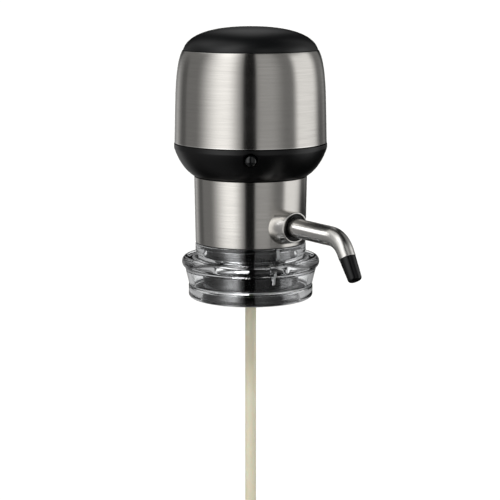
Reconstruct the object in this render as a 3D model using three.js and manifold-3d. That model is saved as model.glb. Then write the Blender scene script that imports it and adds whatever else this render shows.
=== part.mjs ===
// Electric wine aerator: a battery pump in a round head pushes air into the bottle,
// and wine rises through the dip tube and leaves by the bent spout.
// Millimetres, +Z up. The origin is on the axis at the height of the bottle's lip,
// the small push pip faces -Y, and the spout leaves to the right of it.
import * as THREE from "three";
import { mergeVertices } from "three/addons/utils/BufferGeometryUtils.js";
import Module from "manifold-3d";

const wasm = await Module();
wasm.setup();

// Values that every piece shares
const fit = 0.3;            // clearance between two separate pieces
const running = 0.4;        // radial clearance of what turns in another piece
const overrun = 2;          // how far a cutting tool reaches past what it cuts
const weld = 1e-4;          // corners closer than this are one corner
const largeSides = 24;      // facets of the outer shells
const mediumSides = 16;     // facets of the pieces inside them
const smallSides = 10;      // facets of cells and tubes
const screwSides = 8;       // facets of screws and hoses
const shellSteps = 5;       // steps along the curve of a shell
const innerSteps = 3;       // steps along the inside of a shell
const bendSteps = 3;        // steps round a bend of a hose

// Bayonets that join collar to body, and body to head
const bayonetCount = 3;
const ledgeAngle = 56;      // degrees
const lugAngle = 36;        // degrees
const twist = 30;           // degrees from locked to free
const endAngle = 1;         // degrees between a lug and what stops it
const stopAngle = 8;        // degrees

// Mouth of the bottle that the part sits on
const bottle = { lipRadius: 14.75, boreRadius: 9.25 };

// Rubber bell round the bottle's neck
const bell = {
  socketRadius: bottle.lipRadius + fit * 1.5,
  topWall: 1.8,
  waistWall: 2.6,
  lowWall: 4.6,
  skirtWall: 5.3,
  leadIn: 2.2,
  leadDepth: 6.7,
  flangeThickness: 1.1,
  flangeReach: 2.6,
  hem: 0.3,                 // how far the bell ends above the lower ring's foot
  rise: 0.8,                // how far it stands above the bottle's lip, round the gasket
};

// Gasket on the bottle's lip, with a ribbed plug that goes into its bore
const gasket = {
  thickness: 3.0,
  ribReach: 0.7,
  ribCount: 2,
  rootWall: 0.8,
  rootHeight: 2.0,
  length: 15.0,
  taper: 1.6,
  boreRadius: 3.4,
};

// Bayonet ring under the chassis
const lugRing = {
  innerRadius: bell.socketRadius + bell.topWall + running,
  wall: 1.2,
  lugHeight: 2.1,
  lugReach: 1.2,
  flangeReach: 1.8,
  flangeThickness: 1.2,
};
const lugRingRadius = lugRing.innerRadius + lugRing.wall;

// Lower ring of the collar, which clamps the bell
const retainer = { wall: 2.65, boreGap: 0.4, height: 5.3, round: 1.0, roundTurn: 60, foot: 3.0 };
const bellReach = bell.socketRadius + bell.skirtWall + bell.flangeReach;
const retainerRadius = bellReach + fit + retainer.wall;

// Clear collar on the bottle's mouth
const collar = {
  rise: 7.05,               // rim above the lip
  boreRadius: lugRingRadius + lugRing.lugReach + running,
  ringWall: 3.0,
  lipWall: 1.3,
  lipDepth: 1.75,
  rimRound: 0.75,
  pinch: 0.8,               // depth of the waist under the ring
  waistRise: 2.0,
  bulgeRise: 3.8,
  beadReach: 1.3,           // rolled edge past the top of the skirt
  beadRadius: 1.9,          // half width of the rolled edge
  beadHeight: 2.3,          // half height of the rolled edge
  beadDrop: 1.0,            // middle of the rolled edge below the lip
  beadTurn: 70,             // degrees of its underside
  dish: 0.45,               // hollow of the flange's top
  skirtTaper: 1.65,
  skirtInset: 0.2,          // foot of the skirt from the lower ring's outside
  skirtDepth: 10.4,
  wall: 2.4,
  ledgeThickness: 2.0,
  ledgeDepth: 1.6,          // underside of the ledges below the lip
  ledgeRound: 0.5,
  seam: 0.45,               // dark gap between the rim and the neck
};
const ringRadius = collar.boreRadius + collar.ringWall;
const skirtRadius = retainerRadius - collar.skirtInset;
const skirtTopRadius = skirtRadius + collar.skirtTaper;
const flangeRadius = skirtTopRadius + collar.beadReach;
const mark = {
  width: 1.5,
  ringHeight: 3.2,
  skirtHeight: 6.6,
  proud: 0.45,
  ringAzimuth: 29,
  skirtAzimuth: 20,
};
const markSinkShare = 0.35;

// Chassis inside the neck, and the ring under the neck sleeve
const chassis = {
  shoulder: 3.2,
  wall: 1.8,
  sealRoom: 1.9,            // from the gasket up to the floor
  floorThickness: 3.0,
  hubRadius: 4.5,
  portRadius: 1.6,
  postRadius: 3.2,
  postInset: 2.8,
  pilotRadius: 1.3,
  pilotDepth: 12,
};
const chassisRadius = lugRingRadius + chassis.shoulder;
const postCircle = chassisRadius - chassis.wall - chassis.postInset;
const baseRing = {
  radius: ringRadius - collar.lipWall - fit,
  boreRadius: lugRingRadius + running,
  thickness: 1.6,
};
const faceSeal = { radius: 13.6, width: 2.0 };

// Neck sleeve
const neck = { gap: 0.55, wall: 0.8, flare: 0.55, length: 27.4 };
const neckBottomRadius = chassisRadius + neck.gap + neck.wall;
const neckTopRadius = neckBottomRadius + neck.flare;

// Air pump, hose and valve
const pump = {
  radius: 12.2,
  wall: 0.8,
  cushionWidth: 1.8,
  cushionThickness: 0.8,
  capShare: 0.142,          // heights that are shares of a cell's length
  chamberWall: 2.8,
  chamberShare: 0.68,       // of the valve cap's height
  nozzleRadius: 1.2,
  nozzleWall: 0.5,
  nozzleLength: 5.6,
  diaphragmThickness: 1.2,
  cupRadius: 2.2,
  cupCircle: 6.2,
  housingShare: 0.185,
  housingWall: 1.3,
  shaftRadius: 1.0,
  airGap: 0.6,              // between magnets and poles
  hubRadius: 3.6,
  poleWidth: 3.4,
  poleInsetShare: 0.046,    // ends of the poles from the ends of the magnets
  shoeAngle: 84,            // degrees
  shoeThickness: 1.8,
  commutatorRadius: 2.6,
  brushShare: 0.098,        // from the magnets to the end cap
  magnetThickness: 1.3,
  magnetAngle: 120,         // degrees
  endPlugShare: 0.06,
  endThickness: 1.5,
  tabReach: 8.0,
  tabWidth: 2.4,
  tabThickness: 0.6,
  tabRise: 1.0,
  crankRadius: 3.6,
  crankOffset: 1.2,
  crankHeight: 3.0,
};
const magnetRadius = pump.radius - pump.wall - 2 * fit;
const poleRadius = magnetRadius - pump.magnetThickness - pump.airGap;
const valve = {
  circle: 10,
  azimuth: 156,
  radius: 3.6,
  height: 8.0,
  barbRadius: 1.2,
  barbWall: 0.5,
  barb: 3.6,
};
const hose = { wall: 1.0, bendRadius: 5.0, bend: 60 };

// Cells, their carrier and contacts
const cell = { radius: 5.25, length: 43.7, nub: 0.8, nubRadius: 1.9, count: 6 };
const capHeight = cell.length * pump.capShare;
const housingHeight = cell.length * pump.housingShare;
const poleInset = cell.length * pump.poleInsetShare;
const brushRoom = cell.length * pump.brushShare;
const endPlug = cell.length * pump.endPlugShare;
const carrier = {
  boreRadius: pump.radius + running,
  web: 1.35,                // between the bore and a cell
  plateReach: 3.3,          // past the circle of the cells
  plateThickness: 1.4,
  ringReach: 2.3,
  topDrop: 3.0,
  accessRadius: 2.8,
};
const cellCircle = carrier.boreRadius + carrier.web + cell.radius;
const strip = { thickness: 0.4, radius: 3.2 };
const board = { thickness: 1.2, gap: 1.0 };
const pushSwitch = { width: 10, bodyHeight: 2.6, stemRadius: 3.0, stemHeight: 1.0 };
const screw = {
  headRadius: 2.4,
  headHeight: 1.5,
  radius: 1.0,
  length: 12,
  driveRadius: 0.9,
  driveDepth: 0.8,
};

// Liner of the head, whose hat holds the board
const liner = {
  wall: 1.2,
  ledgeThickness: 1.6,
  ledgeRise: 0.8,
  brimThickness: 1.2,
  hatGap: 0.35,
  hatWall: 1.0,
  deckThickness: 1.2,
  chamfer: 1.4,
  holeRadius: 9.0,
};
const hatInner = cellCircle + cell.radius + liner.hatGap;
const hatRadius = hatInner + liner.hatWall;

// Push cap on top
const cap = {
  height: 9.2,
  fullness: 2.2,            // 2 makes an ellipse, and more makes fuller shoulders
  wall: 1.5,
  travel: 2.0,
  skirtDepth: 4.3,
  hookHeight: 1.0,
  hookReach: 0.8,
  stemRadius: 4.0,
  ribRadius: 9.5,
  ribWall: 0.8,
  ribDepth: 1.8,
};
const capRadius = hatRadius + fit + cap.wall;
const spring = { radius: 11.2, wire: 0.45, turns: 3, curlSteps: 8, wireSides: 5 };

// Head sleeve
const head = { lipWall: 0.4, lipHeight: 2.6, taper: 3.3, wall: 0.6 };
const lipRadius = capRadius + fit;
const headTopRadius = lipRadius + head.lipWall;
const headBottomRadius = headTopRadius + head.taper;
const headLowShares = [0.076, 0.45];
const headHighShares = [0.09, 0.834];

// Bowl between neck and head
const bowl = {
  rootProud: 0.2,
  rimProud: 0.17,
  curveHeight: 11.6,
  band: 1.9,
  wall: 1.9,
  floorThickness: 2.0,
  holeRadius: 10.0,
  spigotWall: 1.4,
  spigotRise: 5.8,
  lugReach: 0.9,
  lugHeight: 1.6,
};
const rootRadius = neckTopRadius + bowl.rootProud;
const rimRadius = headBottomRadius + bowl.rimProud;
const linerInner = headBottomRadius - head.wall - fit - liner.wall;
const spigotRadius = linerInner - running - bowl.lugReach;
const bowlLowShares = [0.51, 0.21];
const bowlHighShares = [0.93, 0.69];

// Push pip at the front of the bowl
const pip = {
  radius: 2.5,
  drop: 4.1,                // below the bowl's rim
  setback: 0.45,
  proud: 0.45,
  well: 0.45,
  flange: 0.9,
  flangeThickness: 1.0,
};

// Boss on the neck, and the spout in it
const boss = {
  baseRadius: 7.1,
  frontRadius: 6.25,
  stand: 7.75,              // front face from the neck
  round: 0.5,
  spigotRadius: 5.7,
  rootDepth: 3.0,           // inner end from the chassis's outside
  mouthDepth: 2.4,
  mouthRadius: 5.6,
};
const bossReach = neckBottomRadius + boss.stand;
const bossRoot = chassisRadius - boss.rootDepth;
const spout = {
  azimuth: 36,              // degrees to the right of the front
  droop: 1.0,               // degrees below level
  height: 17.3,             // where its axis crosses the neck's axis
  radius: 3.9,
  wall: 0.6,
  run: 23.3,                // from the boss to the bend
  bendRadius: 10.3,
  bend: 58,                 // degrees
  steps: 6,
  tail: 2.6,                // straight end after the bend
  beadReach: 0.9,
  beadWidth: 1.1,
  tipLength: 9.9,
  tipRadius: 3.75,
  tipEndRadius: 2.95,
  tipWall: 0.75,
  tipPlug: 5.0,
};

// Dip tube
const dip = {
  radius: 2.3,
  wall: 0.4,
  reach: 150,               // lower end of the upper tube below the lip
  gap: 0.3,                 // between the two tubes
  lowWall: 0.5,
  travel: 125,
  overlap: 21,              // what stays inside when pulled out
  glandLength: 6,
  glandWall: 0.6,
  glandLip: 1.7,
  footLength: 7.6,
  footWall: 0.7,
  footGrip: 5.6,
  slotWidth: 1.2,
  slotDepth: 2.4,
};
const lowRadius = dip.radius - dip.wall - dip.gap;
const grommet = { flangeWidth: 1.3, flangeThickness: 1.3 };
const elbow = { radius: 3.4, wall: 1.0, bendRadius: 6.0 };

// Heights that follow from the sizes above, from the collar up
const skirtFootZ = -collar.skirtDepth;
const retainerTopZ = skirtFootZ - fit;
const retainerFootZ = retainerTopZ - retainer.height;
const lugTopZ = -collar.ledgeDepth - fit;
const lugFootZ = lugTopZ - lugRing.lugHeight;
const floorZ = gasket.thickness + chassis.sealRoom;
const floorTopZ = floorZ + chassis.floorThickness;
const baseRingZ = collar.rise - collar.lipDepth + fit;
const shoulderZ = collar.rise + collar.seam;
const neckFootZ = shoulderZ;
const neckTopZ = neckFootZ + neck.length;
const bowlFootZ = neckTopZ + fit;
const bowlFloorZ = bowlFootZ + bowl.floorThickness;
const bowlCurveZ = bowlFootZ + bowl.curveHeight;
const bowlRimZ = bowlCurveZ + bowl.band;
const pipZ = bowlRimZ - pip.drop;
const plateZ = bowlFloorZ + fit;
const plateTopZ = plateZ + carrier.plateThickness;
const cellZ = plateTopZ + strip.thickness;
const cellTopZ = cellZ + cell.length + cell.nub;
const boardZ = cellTopZ + strip.thickness;
const boardTopZ = boardZ + board.thickness;
const deckZ = boardTopZ + fit;
const deckTopZ = deckZ + liner.deckThickness;
const headFootZ = bowlRimZ + fit;
const headLedgeZ = headFootZ + liner.ledgeRise;
const headLugZ = headLedgeZ + liner.ledgeThickness + fit;
const headLugTopZ = headLugZ + bowl.lugHeight;
const headTopZ = deckTopZ;
const capSeamZ = headTopZ + fit;
const capFootZ = capSeamZ - cap.skirtDepth;
const brimTopZ = capFootZ - cap.travel - fit;
const valveCapZ = plateZ + pump.cushionThickness + fit;
const diaphragmZ = valveCapZ + capHeight + fit;
const housingZ = diaphragmZ + pump.diaphragmThickness + fit;
const canZ = housingZ + housingHeight + fit;
const endCapTopZ = cellTopZ - pump.tabRise;
const canTopZ = endCapTopZ - pump.endThickness - fit;
const magnetZ = canZ + pump.wall + fit;
const magnetTopZ = canTopZ - endPlug - brushRoom;
const upperTubeTopZ = floorTopZ + fit + grommet.flangeThickness;
const elbowZ = upperTubeTopZ + fit;

const toRadians = THREE.MathUtils.degToRad;
const group = new THREE.Group();

// Geometry helpers

// Turns a closed outline of [radius, height] pairs, outer side upwards, about Z.
function revolve(points, sides) {
  const path = points.map(([r, z]) => new THREE.Vector2(r, z));
  if (points[0][0] > 0) path.push(path[0].clone());
  return new THREE.LatheGeometry(path, sides).rotateX(Math.PI / 2);
}

// Makes a solid of a closed geometry, without its zero-area triangles.
function solidOf(geometry) {
  const plain = geometry.clone();
  plain.deleteAttribute("normal");
  plain.deleteAttribute("uv");
  const merged = mergeVertices(plain, weld);
  const index = merged.index.array;
  const corners = [];
  for (let i = 0; i < index.length; i += 3) {
    const [a, b, c] = index.slice(i, i + 3);
    if (a !== b && b !== c && c !== a) corners.push(a, b, c);
  }
  const mesh = new wasm.Mesh({
    numProp: 3,
    vertProperties: Float32Array.from(merged.attributes.position.array),
    triVerts: Uint32Array.from(corners),
  });
  return new wasm.Manifold(mesh);
}

function geometryOf(solid) {
  const mesh = solid.getMesh();
  const geometry = new THREE.BufferGeometry();
  geometry.setAttribute("position", new THREE.BufferAttribute(mesh.vertProperties, 3));
  geometry.setIndex(new THREE.BufferAttribute(mesh.triVerts, 1));
  geometry.computeVertexNormals();
  return geometry;
}

// Joins and cuts whole lists of geometries.
function combine(base, added = [], cut = []) {
  let solid = solidOf(base);
  for (const piece of added) solid = solid.add(solidOf(piece));
  for (const piece of cut) solid = solid.subtract(solidOf(piece));
  return geometryOf(solid);
}

// Adds one named mesh to the model.
function addPart(name, geometry, material) {
  const mesh = new THREE.Mesh(geometry, material);
  mesh.name = name;
  group.add(mesh);
  return mesh;
}

// Arc of an ellipse in an outline, from one angle to another in degrees.
function arc(centreR, centreZ, alongR, alongZ, from, to, steps) {
  return Array.from({ length: steps + 1 }, (_, i) => {
    const angle = toRadians(from + ((to - from) * i) / steps);
    return [centreR + alongR * Math.cos(angle), centreZ + alongZ * Math.sin(angle)];
  });
}

// Radius of an outline at a height, between its points.
function radiusAt(points, z) {
  const i = Math.max(1, points.findIndex((point) => point[1] >= z));
  const [[r0, z0], [r1, z1]] = [points[i - 1], points[i]];
  return r0 + ((r1 - r0) * (z - z0)) / (z1 - z0);
}

// Part of a ring between two angles, counted from +X, from one height to another.
function sector(innerRadius, outerRadius, from, to, bottom, top) {
  const shape = new THREE.Shape();
  shape.absarc(0, 0, outerRadius, toRadians(from), toRadians(to), false);
  shape.absarc(0, 0, innerRadius, toRadians(to), toRadians(from), true);
  const settings = { depth: top - bottom, bevelEnabled: false, curveSegments: 3 };
  return new THREE.ExtrudeGeometry(shape, settings).translate(0, 0, bottom);
}

// The same piece at equal angles round the axis.
function around(count, make) {
  return Array.from({ length: count }, (_, i) => make((360 / count) * i));
}

// Point at an azimuth to the right of the front, at a distance from the axis.
function placeAt(azimuth, distance, z = 0) {
  const angle = toRadians(azimuth);
  return new THREE.Vector3(distance * Math.sin(angle), -distance * Math.cos(angle), z);
}

// Upright round bar, for posts and drilled holes.
function bar(radius, bottom, top, at, sides = smallSides) {
  const points = [[0, bottom], [radius, bottom], [radius, top], [0, top]];
  return revolve(points, sides).translate(at.x, at.y, 0);
}

// Stations along a route of straight runs and flat bends, each with a place and a heading.
function route(start, heading, side, moves) {
  let at = start.clone();
  let ahead = heading.clone().normalize();
  let aside = side.clone().normalize();
  const stations = [{ at: at.clone(), ahead: ahead.clone() }];
  for (const move of moves) {
    if (move.ahead) {
      at.addScaledVector(ahead, move.ahead);
      stations.push({ at: at.clone(), ahead: ahead.clone() });
      continue;
    }
    const centre = at.clone().addScaledVector(aside, move.radius);
    const [startAhead, startAside] = [ahead.clone(), aside.clone()];
    for (let i = 1; i <= move.steps; i++) {
      const angle = toRadians((move.turn * i) / move.steps);
      const [cos, sin] = [Math.cos(angle), Math.sin(angle)];
      ahead = startAhead.clone().multiplyScalar(cos).addScaledVector(startAside, sin);
      aside = startAside.clone().multiplyScalar(cos).addScaledVector(startAhead, -sin);
      at = centre.clone().addScaledVector(aside, -move.radius);
      stations.push({ at: at.clone(), ahead: ahead.clone() });
    }
    if (move.back) aside.negate();
  }
  return stations;
}

// Round tube or wire through stations. The normal is square to the route's plane,
// or is the axis of a helix. A bore of zero makes a solid wire.
function pipe(stations, normal, outerRadius, boreRadius, sides) {
  const corners = [];
  const faces = [];
  const rings = boreRadius > 0 ? [outerRadius, boreRadius] : [outerRadius];
  const perStation = rings.length * sides;
  for (const { at, ahead } of stations) {
    const side = normal.clone().cross(ahead).normalize();
    const third = ahead.clone().cross(side);
    for (const radius of rings) {
      for (let k = 0; k < sides; k++) {
        const angle = (2 * Math.PI * k) / sides;
        const corner = at.clone();
        corner.addScaledVector(side, radius * Math.cos(angle));
        corner.addScaledVector(third, radius * Math.sin(angle));
        corners.push(...corner.toArray());
      }
    }
  }
  const corner = (station, ring, k) => station * perStation + ring * sides + (k % sides);
  for (let k = 0; k < sides; k++) {
    for (let s = 0; s + 1 < stations.length; s++) {
      const [a, b] = [corner(s, 0, k), corner(s, 0, k + 1)];
      const [c, d] = [corner(s + 1, 0, k + 1), corner(s + 1, 0, k)];
      faces.push(a, b, c, a, c, d);
      if (rings.length === 1) continue;
      const [e, f] = [corner(s, 1, k), corner(s, 1, k + 1)];
      const [g, h] = [corner(s + 1, 1, k + 1), corner(s + 1, 1, k)];
      faces.push(e, g, f, e, h, g);
    }
    const last = stations.length - 1;
    if (rings.length === 2) {
      const [a, b, c, d] = [corner(0, 0, k), corner(0, 1, k), corner(0, 1, k + 1), corner(0, 0, k + 1)];
      faces.push(a, b, c, a, c, d);
      const [e, f] = [corner(last, 0, k), corner(last, 1, k)];
      const [g, h] = [corner(last, 1, k + 1), corner(last, 0, k + 1)];
      faces.push(e, g, f, e, h, g);
    } else if (k > 0 && k + 1 < sides) {
      faces.push(corner(0, 0, 0), corner(0, 0, k + 1), corner(0, 0, k));
      faces.push(corner(last, 0, 0), corner(last, 0, k), corner(last, 0, k + 1));
    }
  }
  const geometry = new THREE.BufferGeometry();
  geometry.setAttribute("position", new THREE.Float32BufferAttribute(corners, 3));
  geometry.setIndex(faces);
  geometry.computeVertexNormals();
  return geometry;
}

// Materials
function plain(color, roughness, metalness = 0) {
  return new THREE.MeshStandardMaterial({ color, roughness, metalness });
}
const steel = plain(0xb9b7b2, 0.32, 1);
const innerSteel = plain(0x9a9da1, 0.4, 1);
const softBlack = plain(0x26272a, 0.55);
const glossBlack = plain(0x0d0e10, 0.12);
const rubber = plain(0x151618, 0.7);
const chassisBlack = plain(0x1c1d1f, 0.5);
const cream = plain(0xe6e0c8, 0.45);
const brass = plain(0xc8a24a, 0.35, 1);
const green = plain(0x1f5b3a, 0.5);
const cellGrey = plain(0x5d6166, 0.4);
const silicone = plain(0xd9dcdc, 0.5);
const magnetGrey = plain(0x3a3a3c, 0.6);
const clear = new THREE.MeshStandardMaterial({
  color: 0xdfe5e8,
  roughness: 0.05,
  metalness: 0,
  transparent: true,
  opacity: 0.35,
});

// Frame of the spout: its own Z runs out along the tube, its own X points down.
const spoutFrame = new THREE.Matrix4().makeRotationFromEuler(
  new THREE.Euler(0, Math.PI / 2 + toRadians(spout.droop), toRadians(spout.azimuth) - Math.PI / 2, "ZYX"),
);
spoutFrame.setPosition(0, 0, spout.height);

function onSpoutAxis(geometry) {
  return geometry.applyMatrix4(spoutFrame);
}

// Collar

// Outside of the clear collar, from the foot of its skirt to its rim.
function collarOutside() {
  const c = collar;
  const beadR = flangeRadius - c.beadRadius;
  const dishZ = c.beadHeight - c.beadDrop - c.dish;
  const waistRadius = ringRadius - c.pinch;
  return [
    [skirtRadius, skirtFootZ],
    ...arc(beadR, -c.beadDrop, c.beadRadius, c.beadHeight, -c.beadTurn, 90, 4),
    [(beadR + waistRadius) / 2, dishZ],
    [waistRadius, c.waistRise],
    [ringRadius, c.bulgeRise],
    [ringRadius, c.rise - c.rimRound],
    [ringRadius - c.rimRound, c.rise],
  ];
}

// Inside of the clear collar, from its rim down the bore and out to the skirt's foot.
function collarInside() {
  const c = collar;
  const lipInner = ringRadius - c.lipWall;
  const lipZ = c.rise - c.lipDepth;
  return [
    [lipInner, c.rise],
    [lipInner, lipZ],
    [c.boreRadius, lipZ],
    [c.boreRadius, -c.ledgeDepth],
    [c.boreRadius + c.wall, -c.ledgeDepth - c.ledgeRound],
    [skirtTopRadius - c.wall, -c.beadHeight - c.ledgeDepth],
    [skirtRadius - c.wall, skirtFootZ],
  ];
}

// Ledges that hold the lugs down, and a stop under each.
function collarLedges(turn) {
  const inner = lugRingRadius + running;
  const outer = collar.boreRadius + collar.wall / 2;
  const half = ledgeAngle / 2;
  const under = -collar.ledgeDepth;
  const middle = under + collar.ledgeThickness / 2;
  const stopEnd = lugStart(turn) - endAngle;
  return [
    sector(inner, outer, turn - half, turn + half, under, under + collar.ledgeThickness),
    sector(inner, outer, stopEnd - stopAngle, stopEnd, under - lugRing.lugHeight, middle),
  ];
}

// Angle where a body lug starts, so that the twist sets it free of its ledge.
function lugStart(turn) {
  return turn + ledgeAngle / 2 + endAngle - twist;
}

// Raised mark on the collar, with round ends, facing outwards.
function raisedMark(width, height, depth, azimuth, radius, z, lean) {
  const shape = new THREE.Shape();
  const half = height / 2 - width / 2;
  shape.absarc(0, half, width / 2, 0, Math.PI, false);
  shape.absarc(0, -half, width / 2, Math.PI, 2 * Math.PI, false);
  const raised = new THREE.ExtrudeGeometry(shape, { depth, bevelEnabled: false, curveSegments: 2 });
  raised.rotateX(Math.PI / 2 - lean);
  raised.translate(0, -radius + depth * (1 - markSinkShare), z);
  return raised.rotateZ(toRadians(azimuth));
}

function clearCollar() {
  const c = collar;
  const m = mark;
  const body = revolve([...collarOutside(), ...collarInside()], largeSides);
  const ledges = around(bayonetCount, collarLedges).flat();
  const depth = m.proud / markSinkShare;
  const lean = Math.atan2(skirtTopRadius - skirtRadius, c.skirtDepth - c.beadHeight);
  const ringZ = (c.rise - c.rimRound + c.waistRise) / 2;
  const skirtZ = (skirtFootZ - c.beadDrop) / 2;
  const skirtR = (skirtTopRadius + skirtRadius) / 2 + m.proud / 2;
  const marks = [
    raisedMark(m.width, m.ringHeight, depth, m.ringAzimuth, ringRadius, ringZ, 0),
    raisedMark(m.width, m.skirtHeight, depth, m.skirtAzimuth, skirtR, skirtZ, -lean),
  ];
  addPart("clear_collar", combine(body, [...ledges, ...marks]), clear);
}

function collarRetainer() {
  const r = retainer;
  const skirtR = bell.socketRadius + bell.skirtWall;
  const boreR = skirtR + r.boreGap;
  const pocketR = bellReach + fit;
  const pocketZ = retainerTopZ - bell.flangeThickness - fit;
  const points = [
    [retainerRadius - r.foot, retainerFootZ],
    ...arc(retainerRadius - r.round, retainerFootZ + r.round, r.round, r.round, -r.roundTurn, 0, 2),
    [retainerRadius, retainerTopZ],
    [pocketR, retainerTopZ],
    [pocketR, pocketZ],
    [boreR, pocketZ],
    [boreR, retainerFootZ],
  ];
  addPart("collar_retainer", revolve(points, largeSides), clear);
}

// Bell: it grips the bottle's neck, and its flange is clamped over the lower ring.
function bottleBell() {
  const b = bell;
  const inner = b.socketRadius;
  const skirtR = inner + b.skirtWall;
  const flangeFootZ = retainerTopZ - b.flangeThickness;
  const footZ = retainerFootZ + b.hem;
  const ringFootZ = lugFootZ - fit;
  const points = [
    [inner + b.leadIn, footZ],
    [skirtR, footZ],
    [skirtR, flangeFootZ],
    [skirtR + b.flangeReach, flangeFootZ],
    [skirtR + b.flangeReach, retainerTopZ],
    [inner + b.lowWall, retainerTopZ],
    [inner + b.waistWall, ringFootZ - b.leadIn / 2],
    [inner + b.topWall, ringFootZ],
    [inner + b.topWall, b.rise],
    [inner, b.rise],
    [inner, footZ + b.leadDepth],
  ];
  addPart("bottle_bell", revolve(points, mediumSides), rubber);
}

// Gasket: a disc between the bottle's lip and the bell's top, and a ribbed plug in the bore.
function bottleGasket() {
  const g = gasket;
  const ribR = bottle.boreRadius - fit / 2;
  const plugR = ribR - g.ribReach;
  const ribs = [];
  const ribPitch = (g.length - g.taper - g.rootHeight) / (g.ribCount + 1);
  for (let i = g.ribCount; i >= 1; i--) {
    const z = -g.rootHeight - ribPitch * i;
    ribs.push([plugR, z - g.ribReach], [ribR, z], [plugR, z + g.ribReach]);
  }
  const points = [
    [g.boreRadius, -g.length],
    [plugR - g.taper, -g.length],
    [plugR, -g.length + g.taper],
    ...ribs,
    [plugR + g.rootWall, -g.rootHeight],
    [plugR + g.rootWall, 0],
    [bell.socketRadius - fit, 0],
    [bell.socketRadius - fit, bell.rise],
    [bell.socketRadius + bell.topWall, bell.rise],
    [bell.socketRadius + bell.topWall, g.thickness],
    [g.boreRadius, g.thickness],
  ];
  addPart("bottle_gasket", revolve(points, mediumSides), rubber);
}

// Neck

// Outside radius of the neck sleeve at a height.
function neckRadiusAt(z) {
  return neckBottomRadius + (neck.flare * (z - neckFootZ)) / neck.length;
}

// Bar along the spout's axis, for the holes that it passes.
function spoutBar(radius, from, to) {
  const points = [[0, from], [radius, from], [radius, to], [0, to]];
  return onSpoutAxis(revolve(points, smallSides + 2));
}

function spoutHole() {
  const from = chassisRadius - chassis.wall - overrun;
  return spoutBar(boss.spigotRadius + fit, from, neckTopRadius + overrun);
}

function neckSleeve() {
  const points = [
    [neckBottomRadius - neck.wall, neckFootZ],
    [neckBottomRadius, neckFootZ],
    [neckTopRadius, neckTopZ],
    [neckTopRadius - neck.wall, neckTopZ],
  ];
  addPart("neck_sleeve", combine(revolve(points, largeSides), [], [spoutHole()]), steel);
}

function neckBaseRing() {
  const r = baseRing;
  const points = [
    [r.boreRadius, baseRingZ],
    [r.radius, baseRingZ],
    [r.radius, baseRingZ + r.thickness],
    [r.boreRadius, baseRingZ + r.thickness],
  ];
  addPart("neck_base_ring", revolve(points, largeSides), rubber);
}

// Azimuths of the three screw posts, clear of the spout.
function postAzimuths() {
  return around(3, (turn) => spout.azimuth + 60 + turn);
}

function bodyLugs(turn) {
  const inner = lugRing.innerRadius + lugRing.wall / 2;
  const outer = lugRingRadius + lugRing.lugReach;
  return sector(inner, outer, lugStart(turn), lugStart(turn) + lugAngle, lugFootZ, lugTopZ);
}

// Bayonet ring, welded by its flange under the chassis's floor.
function bayonetRing() {
  const r = lugRing;
  const points = [
    [r.innerRadius, lugFootZ],
    [lugRingRadius, lugFootZ],
    [lugRingRadius, floorZ],
    [r.innerRadius - r.flangeReach, floorZ],
    [r.innerRadius - r.flangeReach, floorZ - r.flangeThickness],
    [r.innerRadius, floorZ - r.flangeThickness],
  ];
  const lugs = around(bayonetCount, bodyLugs);
  addPart("bayonet_ring", combine(revolve(points, mediumSides), lugs), chassisBlack);
}

function neckChassis() {
  const c = chassis;
  const wallInner = chassisRadius - c.wall;
  const stepZ = shoulderZ + c.wall;
  const points = [
    [c.hubRadius, floorZ],
    [lugRingRadius, floorZ],
    [lugRingRadius, shoulderZ],
    [chassisRadius, shoulderZ],
    [chassisRadius, neckTopZ],
    [wallInner, neckTopZ],
    [wallInner, stepZ],
    [lugRing.innerRadius, stepZ],
    [lugRing.innerRadius, floorTopZ],
    [c.hubRadius, floorTopZ],
  ];
  const postFootZ = (shoulderZ + floorTopZ) / 2;
  const places = postAzimuths().map((azimuth) => placeAt(azimuth, postCircle));
  const posts = places.map((at) => bar(c.postRadius, postFootZ, neckTopZ, at));
  const pilots = places.map((at) => bar(c.pilotRadius, neckTopZ - c.pilotDepth, neckTopZ + overrun, at));
  const valveAt = placeAt(valve.azimuth, valve.circle);
  const port = bar(c.portRadius, floorZ - overrun, floorTopZ + overrun, valveAt);
  const shell = revolve(points, mediumSides);
  addPart("neck_chassis", combine(shell, posts, [...pilots, port, spoutHole()]), chassisBlack);
}

function faceSealRing() {
  const middleZ = (gasket.thickness + floorZ) / 2;
  const half = floorZ - middleZ - fit;
  const points = [
    [faceSeal.radius - faceSeal.width / 2, middleZ],
    [faceSeal.radius, middleZ - half],
    [faceSeal.radius + faceSeal.width / 2, middleZ],
    [faceSeal.radius, middleZ + half],
  ];
  addPart("face_seal", revolve(points, mediumSides), rubber);
}

// Bowl

function bowlCurve() {
  const span = rimRadius - rootRadius;
  const at = ([r, z]) => new THREE.Vector2(rootRadius + span * r, bowlFootZ + bowl.curveHeight * z);
  return new THREE.CubicBezierCurve(at([0, 0]), at(bowlLowShares), at(bowlHighShares), at([1, 1]));
}

// Points of a curve moved inwards, square to it, by a wall's thickness.
function offsetPoints(curve, distance, steps) {
  return Array.from({ length: steps + 1 }, (_, i) => {
    const point = curve.getPoint(i / steps);
    const tangent = curve.getTangent(i / steps);
    return [point.x - tangent.y * distance, point.y + tangent.x * distance];
  });
}

function headLugs(turn) {
  const inner = spigotRadius - bowl.spigotWall / 2;
  const outer = spigotRadius + bowl.lugReach;
  const end = turn - ledgeAngle / 2 + twist - endAngle;
  return sector(inner, outer, end - lugAngle, end, headLugZ, headLugTopZ);
}

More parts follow.
